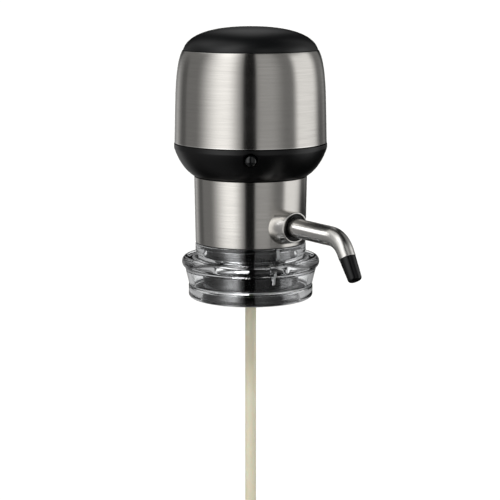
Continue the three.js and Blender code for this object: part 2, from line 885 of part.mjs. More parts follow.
function bowlShell() {
  const b = bowl;
  const outside = bowlCurve().getPoints(shellSteps).map((point) => [point.x, point.y]);
  const spigotInner = spigotRadius - b.spigotWall;
  const inside = offsetPoints(bowlCurve(), b.wall, innerSteps).reverse();
  const wallPoints = inside.filter(([, z]) => z < bowlCurveZ - b.wall && z > bowlFloorZ);
  const points = [
    [b.holeRadius, bowlFootZ],
    ...outside,
    [rimRadius, bowlRimZ],
    [spigotRadius, bowlRimZ],
    [spigotRadius, bowlRimZ + b.spigotRise],
    [spigotInner, bowlRimZ + b.spigotRise],
    [spigotInner, bowlCurveZ],
    ...wallPoints,
    [radiusAtFloor(), bowlFloorZ],
    [b.holeRadius, bowlFloorZ],
  ];
  const holes = postAzimuths().map((azimuth) => {
    const at = placeAt(azimuth, postCircle);
    return bar(chassis.pilotRadius, bowlFootZ - overrun, bowlFloorZ + overrun, at);
  });
  const lugs = around(bayonetCount, headLugs);
  const shell = revolve(points, largeSides);
  addPart("bowl", combine(shell, lugs, [...holes, pipHole(), pipPocket()]), softBlack);
}

// Where the bowl's inner wall meets its floor.
function radiusAtFloor() {
  const inside = offsetPoints(bowlCurve(), bowl.wall, 24);
  return radiusAt(inside, bowlFloorZ) - bowl.wall / 2;
}

// Round bar that points to the front at the height of the pip.
function frontBar(radius, from, to) {
  const points = [[0, from], [radius, from], [radius, to], [0, to]];
  return revolve(points, smallSides + 2).rotateX(Math.PI / 2).translate(0, 0, pipZ);
}

// Depths of the pip, as distances from the axis.
const pipFace = rimRadius - pip.setback + pip.proud;
const pipSeat = rimRadius - bowl.wall - fit * 2;

function pipHole() {
  return frontBar(pip.radius + pip.well, pipSeat - overrun, pipFace + overrun);
}

function pipPocket() {
  const floorR = spigotRadius - bowl.spigotWall - overrun;
  return frontBar(pip.radius + pip.well + pip.flange, floorR, pipSeat + fit);
}

function pushPip() {
  const radius = pip.radius;
  const flangeR = radius + pip.well + pip.flange - fit;
  const points = [
    [0, pipSeat - pip.flangeThickness],
    [flangeR, pipSeat - pip.flangeThickness],
    [flangeR, pipSeat],
    [radius, pipSeat],
    ...arc(0, pipFace - pip.proud * 2, radius, pip.proud * 2, 0, 90, 4).slice(0, -1),
    [0, pipFace],
  ];
  const button = revolve(points, smallSides + 2);
  addPart("release_pip", button.rotateX(Math.PI / 2).translate(0, 0, pipZ), glossBlack);
}

function neckScrews() {
  const headZ = bowlFloorZ + fit;
  postAzimuths().forEach((azimuth, i) => {
    const topZ = headZ + screw.headHeight;
    const points = [
      [0, headZ - screw.length],
      [screw.radius, headZ - screw.length],
      [screw.radius, headZ],
      [screw.headRadius, headZ],
      [screw.headRadius, topZ],
      [screw.driveRadius, topZ],
      [screw.driveRadius, topZ - screw.driveDepth],
      [0, topZ - screw.driveDepth],
    ];
    const at = placeAt(azimuth, postCircle);
    addPart(`neck_screw_${i + 1}`, revolve(points, screwSides).translate(at.x, at.y, 0), innerSteel);
  });
}

// Head

// Outside of the head sleeve, from its foot to its top.
function headOutside(steps) {
  const height = headTopZ - headFootZ;
  const at = ([r, z]) => new THREE.Vector2(headBottomRadius - head.taper * r, headFootZ + height * z);
  const curve = new THREE.CubicBezierCurve(at([0, 0]), at(headLowShares), at(headHighShares), at([1, 1]));
  return curve.getPoints(steps).map((point) => [point.x, point.y]);
}

function headSleeve() {
  const outside = headOutside(shellSteps);
  const lipZ = headTopZ - head.lipHeight;
  const inside = outside.filter(([, z]) => z < lipZ).map(([r, z]) => [r - head.wall, z]);
  const points = [
    ...outside,
    [lipRadius, headTopZ],
    [lipRadius, lipZ],
    [radiusAt(outside, lipZ) - head.wall, lipZ],
    ...inside.reverse(),
  ];
  addPart("head_sleeve", revolve(points, largeSides), steel);
}

function linerLedges(turn) {
  const inner = spigotRadius + fit;
  const outer = linerInner + liner.wall / 2;
  const top = headLedgeZ + liner.ledgeThickness;
  const half = ledgeAngle / 2;
  const stop = turn - half + twist;
  return [
    sector(inner, outer, turn - half, turn + half, headLedgeZ, top),
    sector(inner, outer, stop, stop + stopAngle, top - liner.ledgeThickness / 2, headLugTopZ),
  ];
}

function headLiner() {
  const l = liner;
  const outline = headOutside(shellSteps);
  const brimZ = brimTopZ - l.brimThickness;
  const outerAt = (z) => radiusAt(outline, z) - head.wall - fit;
  const between = outline.filter(([, z]) => z > headFootZ + fit && z < brimZ - l.wall).map(([, z]) => z);
  const footZ = headFootZ + fit / 3;
  const heights = [footZ, ...between, brimTopZ];
  const points = [
    ...heights.map((z) => [outerAt(z), z]),
    [hatRadius, brimTopZ],
    [hatRadius, deckTopZ - l.chamfer],
    [hatRadius - l.chamfer, deckTopZ],
    [l.holeRadius, deckTopZ],
    [l.holeRadius, deckZ],
    [hatInner - l.chamfer / 2, deckZ],
    [hatInner, deckZ - l.chamfer / 2],
    [hatInner, brimZ],
    [outerAt(brimZ) - l.wall, brimZ],
    [linerInner, headLugTopZ + fit],
    [linerInner, footZ],
  ];
  const ledges = around(bayonetCount, linerLedges).flat();
  addPart("head_liner", combine(revolve(points, largeSides), ledges), chassisBlack);
}

// Height of a dome above its rim, at a share of its radius.
function domeHeight(height, radiusShare) {
  return height * (1 - radiusShare ** cap.fullness) ** (1 / cap.fullness);
}

// Outline of a dome from its rim up to its crown.
function dome(radius, height, steps) {
  return Array.from({ length: steps }, (_, i) => {
    const radiusShare = Math.cos((i / steps) * (Math.PI / 2)) ** (2 / cap.fullness);
    return [radius * radiusShare, capSeamZ + domeHeight(height, radiusShare)];
  });
}

const capInner = capRadius - cap.wall;

// Underside of the push cap at a distance from the axis.
function capUnderZ(r) {
  return capSeamZ + domeHeight(cap.height - cap.wall, r / capInner);
}

function pushCap() {
  const ribInner = cap.ribRadius - cap.ribWall;
  const stemZ = boardTopZ + pushSwitch.bodyHeight + pushSwitch.stemHeight + cap.travel + fit;
  const under = dome(capInner, cap.height - cap.wall, innerSteps + 1).reverse();
  const beyondRib = under.filter(([r]) => r > cap.ribRadius + cap.ribWall);
  const points = [
    [0, stemZ],
    [cap.stemRadius, stemZ],
    [cap.stemRadius, capUnderZ(cap.stemRadius)],
    [ribInner, capUnderZ(ribInner)],
    [ribInner, capUnderZ(cap.ribRadius) - cap.ribDepth],
    [cap.ribRadius, capUnderZ(cap.ribRadius) - cap.ribDepth],
    [cap.ribRadius, capUnderZ(cap.ribRadius)],
    ...beyondRib,
    [capInner, capFootZ],
    [capRadius + cap.hookReach, capFootZ],
    [capRadius + cap.hookReach, capFootZ + cap.hookHeight],
    [capRadius, capFootZ + cap.hookHeight],
    ...dome(capRadius, cap.height, shellSteps + 1),
    [0, capSeamZ + cap.height],
  ];
  addPart("push_cap", revolve(points, largeSides), softBlack);
}

// Return spring under the push cap: one open helix between the deck and the cap.
function capSpring() {
  const bottom = deckTopZ + fit + spring.wire;
  const top = capUnderZ(spring.radius + spring.wire) - fit - spring.wire;
  const steps = spring.turns * spring.curlSteps;
  const stations = [];
  for (let i = 0; i <= steps; i++) {
    const angle = (2 * Math.PI * i) / spring.curlSteps;
    const rise = (top - bottom) / (2 * Math.PI * spring.turns);
    const at = new THREE.Vector3(spring.radius * Math.cos(angle), spring.radius * Math.sin(angle), 0);
    at.z = bottom + rise * angle;
    stations.push({ at, ahead: new THREE.Vector3(-at.y, at.x, rise).normalize() });
  }
  const wire = pipe(stations, new THREE.Vector3(0, 0, 1), spring.wire, 0, spring.wireSides);
  addPart("cap_spring", wire, innerSteel);
  console.log(`cap_spring least gap to itself ${leastSelfGap(stations).toFixed(2)} mm`);
}

// Least distance between stations half a curl or more apart, less the wire.
function leastSelfGap(stations) {
  let least = Infinity;
  stations.forEach(({ at }, i) => {
    for (const other of stations.slice(i + spring.curlSteps / 2)) {
      least = Math.min(least, at.distanceTo(other.at));
    }
  });
  return least - 2 * spring.wire;
}

// Cells, carrier and contacts

const cellPitch = 360 / cell.count;

// Azimuth of a cell. The screw posts lie between two cells.
function cellAzimuth(i) {
  return spout.azimuth + cellPitch * (i + 1 / 2);
}

function cells() {
  for (let i = 0; i < cell.count; i++) {
    const shoulderTop = cellZ + cell.length;
    const points = [
      [0, cellZ],
      [cell.radius, cellZ],
      [cell.radius, shoulderTop],
      [cell.nubRadius, shoulderTop],
      [cell.nubRadius, cellTopZ],
      [0, cellTopZ],
    ];
    const battery = revolve(points, smallSides);
    if (i % 2) battery.rotateX(Math.PI).translate(0, 0, cellZ + cellTopZ);
    const at = placeAt(cellAzimuth(i), cellCircle);
    addPart(`cell_${i + 1}`, battery.translate(at.x, at.y, 0), cellGrey);
  }
}

// Flat contact strip with round ends from one place to another.
function stripShape(from, to, radius, bottom, top) {
  const along = to.clone().sub(from);
  const angle = Math.atan2(along.y, along.x);
  const shape = new THREE.Shape();
  const quarter = Math.PI / 2;
  shape.absarc(to.x, to.y, radius, angle - quarter, angle + quarter, false);
  shape.absarc(from.x, from.y, radius, angle + quarter, angle + 3 * quarter, false);
  const settings = { depth: top - bottom, bevelEnabled: false, curveSegments: 3 };
  return new THREE.ExtrudeGeometry(shape, settings).translate(0, 0, bottom);
}

// Lower strips join cells across the webs that hold no screw, upper ones the others.
function lowerPair(i) {
  return [1, 2].map((step) => placeAt(cellAzimuth(2 * i + step), cellCircle));
}

function contacts() {
  for (let i = 0; i < cell.count / 2; i++) {
    const [from, to] = lowerPair(i);
    addPart(`lower_strip_${i + 1}`, stripShape(from, to, strip.radius, plateTopZ, cellZ), brass);
  }
  for (let i = 0; i < cell.count / 2 - 1; i++) {
    const [from, to] = [2, 3].map((step) => placeAt(cellAzimuth(2 * i + step), cellCircle));
    addPart(`upper_strip_${i + 1}`, stripShape(from, to, strip.radius, cellTopZ, boardZ), brass);
  }
  [1, 6].forEach((step, i) => {
    const at = placeAt(cellAzimuth(step), cellCircle);
    const plate = bar(strip.radius, cellTopZ, boardZ, at);
    addPart(`end_contact_${i + 1}`, plate, brass);
  });
}

function batteryCarrier() {
  const c = carrier;
  const topZ = cellTopZ - c.topDrop;
  const plateR = cellCircle + c.plateReach;
  const ringR = cellCircle + c.ringReach;
  const tube = revolve([
    [c.boreRadius, plateZ],
    [plateR, plateZ],
    [plateR, plateTopZ],
    [ringR, plateTopZ],
    [ringR, topZ],
    [c.boreRadius, topZ],
  ], mediumSides);
  const cuts = [];
  for (let i = 0; i < cell.count; i++) {
    const at = placeAt(cellAzimuth(i), cellCircle);
    cuts.push(bar(cell.radius + fit, plateTopZ, topZ + overrun, at));
  }
  for (const azimuth of postAzimuths()) {
    const at = placeAt(azimuth, postCircle);
    cuts.push(bar(c.accessRadius, plateZ - overrun, topZ + overrun, at, screwSides));
  }
  for (let i = 0; i < cell.count / 2; i++) {
    const [from, to] = lowerPair(i);
    cuts.push(stripShape(from, to, strip.radius + fit, plateTopZ, cellZ + fit));
  }
  addPart("battery_carrier", combine(tube, [], cuts), chassisBlack);
}

function contactBoard() {
  const boardRadius = hatInner - board.gap;
  const points = [[0, boardZ], [boardRadius, boardZ], [boardRadius, boardTopZ], [0, boardTopZ]];
  addPart("contact_board", revolve(points, mediumSides), green);
  const { width, bodyHeight, stemRadius, stemHeight } = pushSwitch;
  const bodyZ = boardTopZ + bodyHeight / 2;
  const body = new THREE.BoxGeometry(width, width, bodyHeight).translate(0, 0, bodyZ);
  const stem = bar(stemRadius, bodyZ, boardTopZ + bodyHeight + stemHeight, new THREE.Vector3());
  addPart("press_switch", combine(body, [stem]), softBlack);
}

// Air pump

function motorCan() {
  const p = pump;
  const hole = p.shaftRadius + fit * 2;
  const points = [
    [hole, canZ],
    [p.radius, canZ],
    [p.radius, canTopZ],
    [p.radius - p.wall, canTopZ],
    [p.radius - p.wall, canZ + p.wall],
    [hole, canZ + p.wall],
  ];
  addPart("motor_can", revolve(points, mediumSides), innerSteel);
}

function motorEnd() {
  const p = pump;
  const hole = p.shaftRadius + fit;
  const plugR = p.radius - p.wall - fit;
  const capZ = canTopZ + fit;
  const points = [
    [hole, canTopZ - endPlug],
    [plugR, canTopZ - endPlug],
    [plugR, capZ],
    [p.radius, capZ],
    [p.radius, endCapTopZ],
    [hole, endCapTopZ],
  ];
  const tabs = [1, -1].map((side) => {
    const tab = new THREE.BoxGeometry(p.tabThickness, p.tabWidth, p.endThickness);
    return tab.translate(side * p.tabReach, 0, endCapTopZ + p.tabRise - p.endThickness / 2);
  });
  addPart("motor_end_cap", combine(revolve(points, mediumSides), tabs), chassisBlack);
}

function motorMagnets() {
  const inner = magnetRadius - pump.magnetThickness;
  const half = pump.magnetAngle / 2;
  [0, 180].forEach((turn, i) => {
    const magnet = sector(inner, magnetRadius, turn - half, turn + half, magnetZ, magnetTopZ);
    addPart(`motor_magnet_${i + 1}`, magnet, magnetGrey);
  });
}

function armature() {
  const p = pump;
  const poleZ = magnetZ + poleInset;
  const poleTopZ = magnetTopZ - poleInset;
  const commutatorZ = canTopZ - endPlug - brushRoom / 3;
  const shaft = revolve([
    [0, housingZ + p.crankHeight / 2],
    [p.shaftRadius, housingZ + p.crankHeight / 2],
    [p.shaftRadius, poleZ],
    [p.hubRadius, poleZ],
    [p.hubRadius, poleTopZ],
    [p.commutatorRadius, poleTopZ],
    [p.commutatorRadius, commutatorZ],
    [p.shaftRadius, commutatorZ],
    [p.shaftRadius, canTopZ + fit],
    [0, canTopZ + fit],
  ], smallSides);
  const armLength = poleRadius - p.shoeThickness / 2;
  const shoeInner = poleRadius - p.shoeThickness;
  const half = p.shoeAngle / 2;
  const poles = around(3, (turn) => {
    const arm = new THREE.BoxGeometry(armLength, p.poleWidth, poleTopZ - poleZ);
    arm.translate(armLength / 2, 0, (poleZ + poleTopZ) / 2).rotateZ(toRadians(turn));
    return [arm, sector(shoeInner, poleRadius, turn - half, turn + half, poleZ, poleTopZ)];
  });
  addPart("motor_armature", combine(shaft, poles.flat()), innerSteel);
}

function pumpEccentric() {
  const p = pump;
  const bottom = housingZ + p.crankHeight / 2;
  const top = bottom + p.crankHeight;
  const disc = bar(p.crankRadius, bottom, top, new THREE.Vector3(p.crankOffset, 0, 0));
  const bore = bar(p.shaftRadius + fit, bottom - overrun, top + overrun, new THREE.Vector3());
  addPart("pump_eccentric", combine(disc, [], [bore]), cream);
}

function pumpHousing() {
  const p = pump;
  const inner = p.radius - p.housingWall;
  const hole = p.shaftRadius + fit * 2;
  const topZ = housingZ + housingHeight;
  const points = [
    [inner, housingZ],
    [p.radius, housingZ],
    [p.radius, topZ],
    [hole, topZ],
    [hole, topZ - p.housingWall],
    [inner, topZ - p.housingWall],
  ];
  addPart("pump_housing", revolve(points, mediumSides), chassisBlack);
}

function pumpDiaphragm() {
  const p = pump;
  const top = diaphragmZ + p.diaphragmThickness;
  const disc = bar(p.radius, diaphragmZ, top, new THREE.Vector3(), mediumSides);
  const hollows = around(3, (turn) => {
    const at = placeAt(turn, p.cupCircle);
    return bar(p.cupRadius, diaphragmZ - overrun, top - fit, at, screwSides);
  });
  addPart("pump_diaphragm", combine(disc, [], hollows), rubber);
}

function pumpValveCap() {
  const p = pump;
  const bore = p.nozzleRadius - p.nozzleWall;
  const topZ = valveCapZ + capHeight;
  const chamberHeight = capHeight * p.chamberShare;
  const points = [
    [bore, valveCapZ - p.nozzleLength],
    [p.nozzleRadius, valveCapZ - p.nozzleLength],
    [p.nozzleRadius, valveCapZ],
    [p.radius, valveCapZ],
    [p.radius, topZ],
    [p.radius - p.chamberWall, topZ],
    [p.radius - p.chamberWall, topZ - chamberHeight],
    [bore, topZ - chamberHeight],
  ];
  addPart("pump_valve_cap", revolve(points, mediumSides), chassisBlack);
}

function pumpCushion() {
  const top = plateZ + pump.cushionThickness;
  const inner = pump.radius - pump.cushionWidth;
  const points = [[inner, plateZ], [pump.radius, plateZ], [pump.radius, top], [inner, top]];
  addPart("pump_cushion", revolve(points, mediumSides), rubber);
}

function checkValve() {
  const v = valve;
  const bodyZ = floorTopZ + fit;
  const topZ = bodyZ + v.height;
  const bore = v.barbRadius - v.barbWall;
  const points = [
    [bore, floorZ],
    [v.barbRadius, floorZ],
    [v.barbRadius, bodyZ],
    [v.radius, bodyZ],
    [v.radius, topZ - v.barbRadius],
    [v.barbRadius, topZ],
    [v.barbRadius, topZ + v.barb],
    [bore, topZ + v.barb],
  ];
  const at = placeAt(v.azimuth, v.circle);
  addPart("check_valve", revolve(points, smallSides).translate(at.x, at.y, 0), silicone);
}

// Hose from the pump's nozzle down to the check valve, in one flat double bend.
function airHose() {
  const bore = valve.barbRadius + fit;
  const startZ = valveCapZ - fit;
  const endZ = floorTopZ + fit + valve.height + fit;
  const bend = toRadians(hose.bend);
  const slant = (valve.circle - 2 * hose.bendRadius * (1 - Math.cos(bend))) / Math.sin(bend);
  const drop = 2 * hose.bendRadius * Math.sin(bend) + slant * Math.cos(bend);
  const last = valve.barb;
  const start = new THREE.Vector3(0, 0, startZ);
  const stations = route(start, new THREE.Vector3(0, 0, -1), placeAt(valve.azimuth, 1), [
    { ahead: startZ - endZ - drop - last },
    { turn: hose.bend, radius: hose.bendRadius, steps: bendSteps, back: true },
    { ahead: slant },
    { turn: hose.bend, radius: hose.bendRadius, steps: bendSteps },
    { ahead: last },
  ]);
  const normal = placeAt(valve.azimuth + 90, 1);
  addPart("air_hose", pipe(stations, normal, bore + hose.wall, bore, screwSides), silicone);
}

// Wine path

function flowElbow() {
  const turn = 90 + spout.droop;
  const corner = elbow.bendRadius * Math.tan(toRadians(turn / 2));
  const endReach = bossRoot - fit - spout.beadWidth - fit;
  const start = new THREE.Vector3(0, 0, elbowZ);
  const stations = route(start, new THREE.Vector3(0, 0, 1), placeAt(spout.azimuth, 1), [
    { ahead: spout.height - elbowZ - corner },
    { turn, radius: elbow.bendRadius, steps: bendSteps },
    { ahead: endReach - corner },
  ]);
  const normal = placeAt(spout.azimuth + 90, 1);
  const tube = pipe(stations, normal, elbow.radius, elbow.radius - elbow.wall, smallSides);
  addPart("flow_elbow", tube, silicone);
}

function tubeGrommet() {
  const hole = dip.radius + fit;
  const bodyR = chassis.hubRadius - fit;
  const flangeZ = floorTopZ + fit;
  const points = [
    [hole, floorZ],
    [bodyR, floorZ],
    [bodyR, flangeZ],
    [chassis.hubRadius + grommet.flangeWidth, flangeZ],
    [chassis.hubRadius + grommet.flangeWidth, flangeZ + grommet.flangeThickness],
    [hole, flangeZ + grommet.flangeThickness],
  ];
  addPart("tube_grommet", revolve(points, smallSides), rubber);
}

function dipTubes() {
  const d = dip;
  const bore = d.radius - d.wall;
  const upper = [[bore, -d.reach], [d.radius, -d.reach], [d.radius, upperTubeTopZ], [bore, upperTubeTopZ]];
  addPart("dip_tube_upper", revolve(upper, smallSides), cream);

  const glandR = d.radius + fit + d.glandWall;
  const glandBore = lowRadius + d.gap;
  const lipZ = -d.reach - fit;
  const glandZ = lipZ - d.glandLip;
  const gland = [
    [glandBore, glandZ],
    [glandR - fit, glandZ],
    [glandR, lipZ],
    [glandR, glandZ + d.glandLength],
    [d.radius + fit, glandZ + d.glandLength],
    [d.radius + fit, lipZ],
    [glandBore, lipZ],
  ];
  addPart("tube_gland", revolve(gland, smallSides), rubber);

  const footTopZ = glandZ - fit;
  const footZ = footTopZ - d.footLength;
  const seatZ = footTopZ - d.footGrip;
  const lowTopZ = -d.reach + d.travel + d.overlap;
  const lowBore = lowRadius - d.lowWall;
  const lower = [
    [lowBore, seatZ + fit],
    [lowRadius, seatZ + fit],
    [lowRadius, lowTopZ],
    [lowBore, lowTopZ],
  ];
  addPart("dip_tube_lower", revolve(lower, smallSides), cream);

  const footR = lowRadius + fit + d.footWall;
  const shell = revolve([
    [lowBore, footZ],
    [footR, footZ],
    [footR, footTopZ],
    [lowRadius + fit, footTopZ],
    [lowRadius + fit, seatZ],
    [lowBore, seatZ],
  ], smallSides);
  const slots = [0, 90].map((turn) => {
    const slot = new THREE.BoxGeometry(2 * footR + overrun, d.slotWidth, d.slotDepth * 2);
    return slot.rotateZ(toRadians(turn)).translate(0, 0, footZ);
  });
  addPart("dip_tube_foot", combine(shell, [], slots), rubber);
}

// Spout

function spoutBoss() {
  const b = boss;
  const flange = onSpoutAxis(revolve([
    [0, bossRoot],
    [b.baseRadius, bossRoot],
    [b.baseRadius, neckBottomRadius],
    ...arc(b.frontRadius - b.round, bossReach - b.round, b.round, b.round, 0, 90, 3),
    [0, bossReach],
  ], mediumSides));
  const seat = revolve([
    [0, neckFootZ - overrun],
    [neckRadiusAt(neckFootZ - overrun) + fit, neckFootZ - overrun],
    [neckRadiusAt(neckTopZ) + fit, neckTopZ],
    [0, neckTopZ],
  ], largeSides);
  const outside = combine(flange, [], [seat]);
  const spigot = spoutBar(b.spigotRadius, bossRoot, bossReach - b.mouthDepth - b.round);
  const cuts = [
    spoutBar(spout.radius + fit, bossRoot - overrun, bossReach + overrun),
    spoutBar(b.mouthRadius, bossReach - b.mouthDepth, bossReach + overrun),
  ];
  addPart("spout_boss", combine(outside, [spigot], cuts), steel);
}

function spoutSeal() {
  const back = bossReach - boss.mouthDepth + fit;
  const front = bossReach - boss.round;
  const outer = boss.mouthRadius - fit;
  const inner = spout.radius + fit;
  const points = [
    [inner, back],
    [outer, back],
    [outer, front - fit],
    [(inner + outer) / 2, front],
    [inner, front - fit],
  ];
  addPart("spout_seal", onSpoutAxis(revolve(points, smallSides + 2)), rubber);
}

// Stations of the spout in its own frame, from the bead inside the boss to the tip.
function spoutStations() {
  const s = spout;
  const rootZ = bossRoot - fit - s.beadWidth;
  const start = new THREE.Vector3(0, 0, rootZ);
  return route(start, new THREE.Vector3(0, 0, 1), new THREE.Vector3(1, 0, 0), [
    { ahead: bossReach + s.run - rootZ },
    { turn: s.bend, radius: s.bendRadius, steps: s.steps },
    { ahead: s.tail },
  ]);
}

// Spout tube, with the bead that keeps it in the boss.
function spoutTube() {
  const s = spout;
  const stations = spoutStations();
  const rootZ = stations[0].at.z;
  const bore = s.radius - s.wall;
  const tube = pipe(stations, new THREE.Vector3(0, 1, 0), s.radius, bore, smallSides);
  const middle = (s.radius + bore) / 2;
  const bead = revolve([
    [middle, rootZ],
    [s.radius + s.beadReach, rootZ],
    [s.radius + s.beadReach, rootZ + s.beadWidth],
    [middle, rootZ + s.beadWidth],
  ], smallSides + 2);
  addPart("spout_tube", onSpoutAxis(combine(tube, [bead])), steel);
}

// Rubber tip, plugged into the end of the spout.
function spoutTip() {
  const s = spout;
  const plugR = s.radius - s.wall - fit;
  const tipBore = plugR - s.tipWall;
  const tip = revolve([
    [tipBore, -s.tipPlug],
    [plugR, -s.tipPlug],
    [plugR, fit],
    [s.tipRadius, fit],
    [s.tipEndRadius, s.tipLength - fit],
    [s.tipEndRadius - fit, s.tipLength],
    [tipBore, s.tipLength],
  ], smallSides);
  const { at, ahead } = spoutStations().pop();
  const turned = new THREE.Quaternion().setFromUnitVectors(new THREE.Vector3(0, 0, 1), ahead);
  tip.applyQuaternion(turned).translate(at.x, at.y, at.z);
  addPart("spout_tip", onSpoutAxis(tip), rubber);
}

clearCollar();
collarRetainer();
bottleBell();
bottleGasket();
neckSleeve();
neckBaseRing();
bayonetRing();
neckChassis();
faceSealRing();
bowlShell();
pushPip();
neckScrews();
headSleeve();
headLiner();
pushCap();
capSpring();
cells();
contacts();
batteryCarrier();
contactBoard();
motorCan();
motorEnd();
motorMagnets();
armature();
pumpEccentric();
pumpHousing();
pumpDiaphragm();
pumpValveCap();
pumpCushion();
checkValve();
airHose();
flowElbow();
tubeGrommet();
dipTubes();
spoutBoss();
spoutSeal();
spoutTube();
spoutTip();

export default group;
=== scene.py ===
"""Surfaces and finishes of an electric wine aerator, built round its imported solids.

Millimetres in the shapes, metres in the meshes. +Z is up, the origin is on the axis at the height
of the lip seat, and the front, with the push pip, faces -Y. Azimuths run from the front to the
right, so a point at radius r and azimuth a is (r sin a, -r cos a).
"""
import math
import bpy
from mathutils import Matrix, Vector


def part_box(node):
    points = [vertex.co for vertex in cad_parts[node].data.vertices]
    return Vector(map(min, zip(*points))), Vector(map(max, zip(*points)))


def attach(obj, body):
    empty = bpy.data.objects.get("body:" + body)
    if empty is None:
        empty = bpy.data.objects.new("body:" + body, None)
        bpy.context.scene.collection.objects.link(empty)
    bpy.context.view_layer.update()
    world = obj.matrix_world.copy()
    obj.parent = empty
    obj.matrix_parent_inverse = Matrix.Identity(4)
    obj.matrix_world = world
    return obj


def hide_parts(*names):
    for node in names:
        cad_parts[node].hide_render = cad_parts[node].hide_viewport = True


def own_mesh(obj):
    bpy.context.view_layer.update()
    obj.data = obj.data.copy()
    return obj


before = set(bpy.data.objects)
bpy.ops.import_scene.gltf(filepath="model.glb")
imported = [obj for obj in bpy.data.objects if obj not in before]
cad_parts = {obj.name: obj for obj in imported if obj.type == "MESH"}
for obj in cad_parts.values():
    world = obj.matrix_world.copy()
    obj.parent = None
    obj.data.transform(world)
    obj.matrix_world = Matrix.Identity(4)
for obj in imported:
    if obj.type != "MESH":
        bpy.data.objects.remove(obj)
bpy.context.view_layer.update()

from types import SimpleNamespace

import bmesh
import bpy
import numpy as np
from bpy.props import FloatProperty, FloatVectorProperty, PointerProperty
from bpy.types import Operator, Panel, PropertyGroup

bl_info = {
    "name": "Electric wine aerator",
    "version": (1, 0, 0),
    "blender": (4, 5, 0),
    "location": "View3D > Sidebar > Aerator",
    "description": "Surfaces and finishes of an electric wine aerator, built round its packed solids",
    "category": "Add Mesh",
}

MM = 0.001
ROUND_STEPS = 5          # points of each rounded corner
AROUND = 144             # points round a shell
AROUND_SMALL = 48        # points round a tube or a seal


# Sizes and colours

def reach(node):
    """Foot, top and widest radius of a CAD node on the upright axis, in millimetres."""
    low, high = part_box(node)
    return low.z / MM, high.z / MM, high.x / MM


def linear(code):
    """sRGB hex value to linear light: c / 12.92 below 0.04045, and ((c + 0.055) / 1.055) ^ 2.4 above."""
    channels = np.array([int(code[i:i + 2], 16) for i in (1, 3, 5)]) / 255
    return np.where(channels <= 0.04045, channels / 12.92, ((channels + 0.055) / 1.055) ** 2.4).tolist()


def length(label, description, millimetres):
    """Property for a length, given in millimetres and held in metres."""
    return FloatProperty(name=label, description=description, default=millimetres * MM,
                         unit="LENGTH", subtype="DISTANCE", precision=5)


def angle(label, description, degrees):
    """Property for an angle, given in degrees and held in radians."""
    return FloatProperty(name=label, description=description, default=math.radians(degrees),
                         unit="ROTATION", subtype="ANGLE")


def share(label, description, value):
    """Property for a share of one."""
    return FloatProperty(name=label, description=description, default=value, subtype="FACTOR")


def tint(label, description, code):
    """Property for a colour, given as an sRGB hex value and held as linear light."""
    return FloatVectorProperty(name=label, description=description, default=linear(code),
                               subtype="COLOR", size=3, min=0, max=1)


class HeadSizes(PropertyGroup):
    foot_radius: length("Sleeve foot", "Radius of the sleeve at its foot", reach("head_sleeve")[2])
    taper: length("Sleeve taper", "How much narrower the sleeve is at its top", 3.5)
    wall: length("Sleeve wall", "Thickness of the sleeve", 0.6)
    lip: length("Sleeve lip", "Width of the sleeve's top edge", 0.2)
    lip_depth: length("Lip depth", "Height of the sleeve's turned-in lip", 2.6)
    cap_radius: length("Cap radius", "Radius of the push cap at its seam", 27.78)
    cap_height: length("Cap height", "Height of the push cap over its seam", 9.4)
    cap_lean: length("Cap lean", "How far the cap's flank leans in before it turns over", 1.45)
    cap_crown: length("Cap crown", "Radius at which the crown starts to turn down", 19.6)
    cap_wall: length("Cap wall", "Thickness of the push cap", 1.5)


class BowlSizes(PropertyGroup):
    root_radius: length("Root radius", "Radius of the bowl over the neck", 23.6)
    rim_radius: length("Rim radius", "Radius of the bowl's upper band", reach("bowl")[2])
    band: length("Band", "Height of the upright band under the sleeve", 1.8)
    spigot_radius: length("Spigot", "Radius of the spigot that goes into the head", 28.2)
    spigot_rise: length("Spigot rise", "Height of the spigot over the band", 5.8)
    pip_radius: length("Pip radius", "Radius of the push pip", 2.5)
    pip_gap: length("Pip gap", "Gap round the push pip", 0.45)
    pip_drop: length("Pip drop", "Middle of the pip below the rim", 4.1)


class NeckSizes(PropertyGroup):
    foot_radius: length("Foot radius", "Radius of the neck sleeve at its foot", 23.05)
    flare: length("Flare", "How much wider the neck sleeve is at its top", 0.45)
    wall: length("Wall", "Thickness of the neck sleeve", 0.8)


class SpoutSizes(PropertyGroup):
    azimuth: angle("Azimuth", "Direction of the spout, to the right of the front", 36)
    droop: angle("Droop", "How far the spout points below level", 1)
    height: length("Height", "Where the spout's axis crosses the neck's axis", 17.3)
    base_radius: length("Boss base", "Radius of the boss on the neck", 7.1)
    front_radius: length("Boss front", "Radius of the boss's front edge", 6.25)
    boss_sag: length("Boss sag", "How far the boss's foot sits below the spout's axis", 0.9)
    stand: length("Boss stand", "Front face of the boss from the neck", 7.75)
    radius: length("Tube radius", "Radius of the spout tube", 3.9)
    wall: length("Tube wall", "Thickness of the spout tube", 0.6)
    run: length("Run", "From the boss to the bend", 23.3)
    bend_radius: length("Bend radius", "Radius of the bend's middle line", 10.3)
    bend: angle("Bend", "Turn of the bend", 58)
    tail: length("Tail", "Straight end after the bend", 2.6)
    end_radius: length("Tube end", "Radius of the tube's end", 3.4)
    tip_radius: length("Tip radius", "Radius of the tip at the tube", 3.3)
    tip_end: length("Tip end", "Radius of the tip's end", 2.85)
    tip_length: length("Tip length", "Length of the tip outside the tube", 9.9)


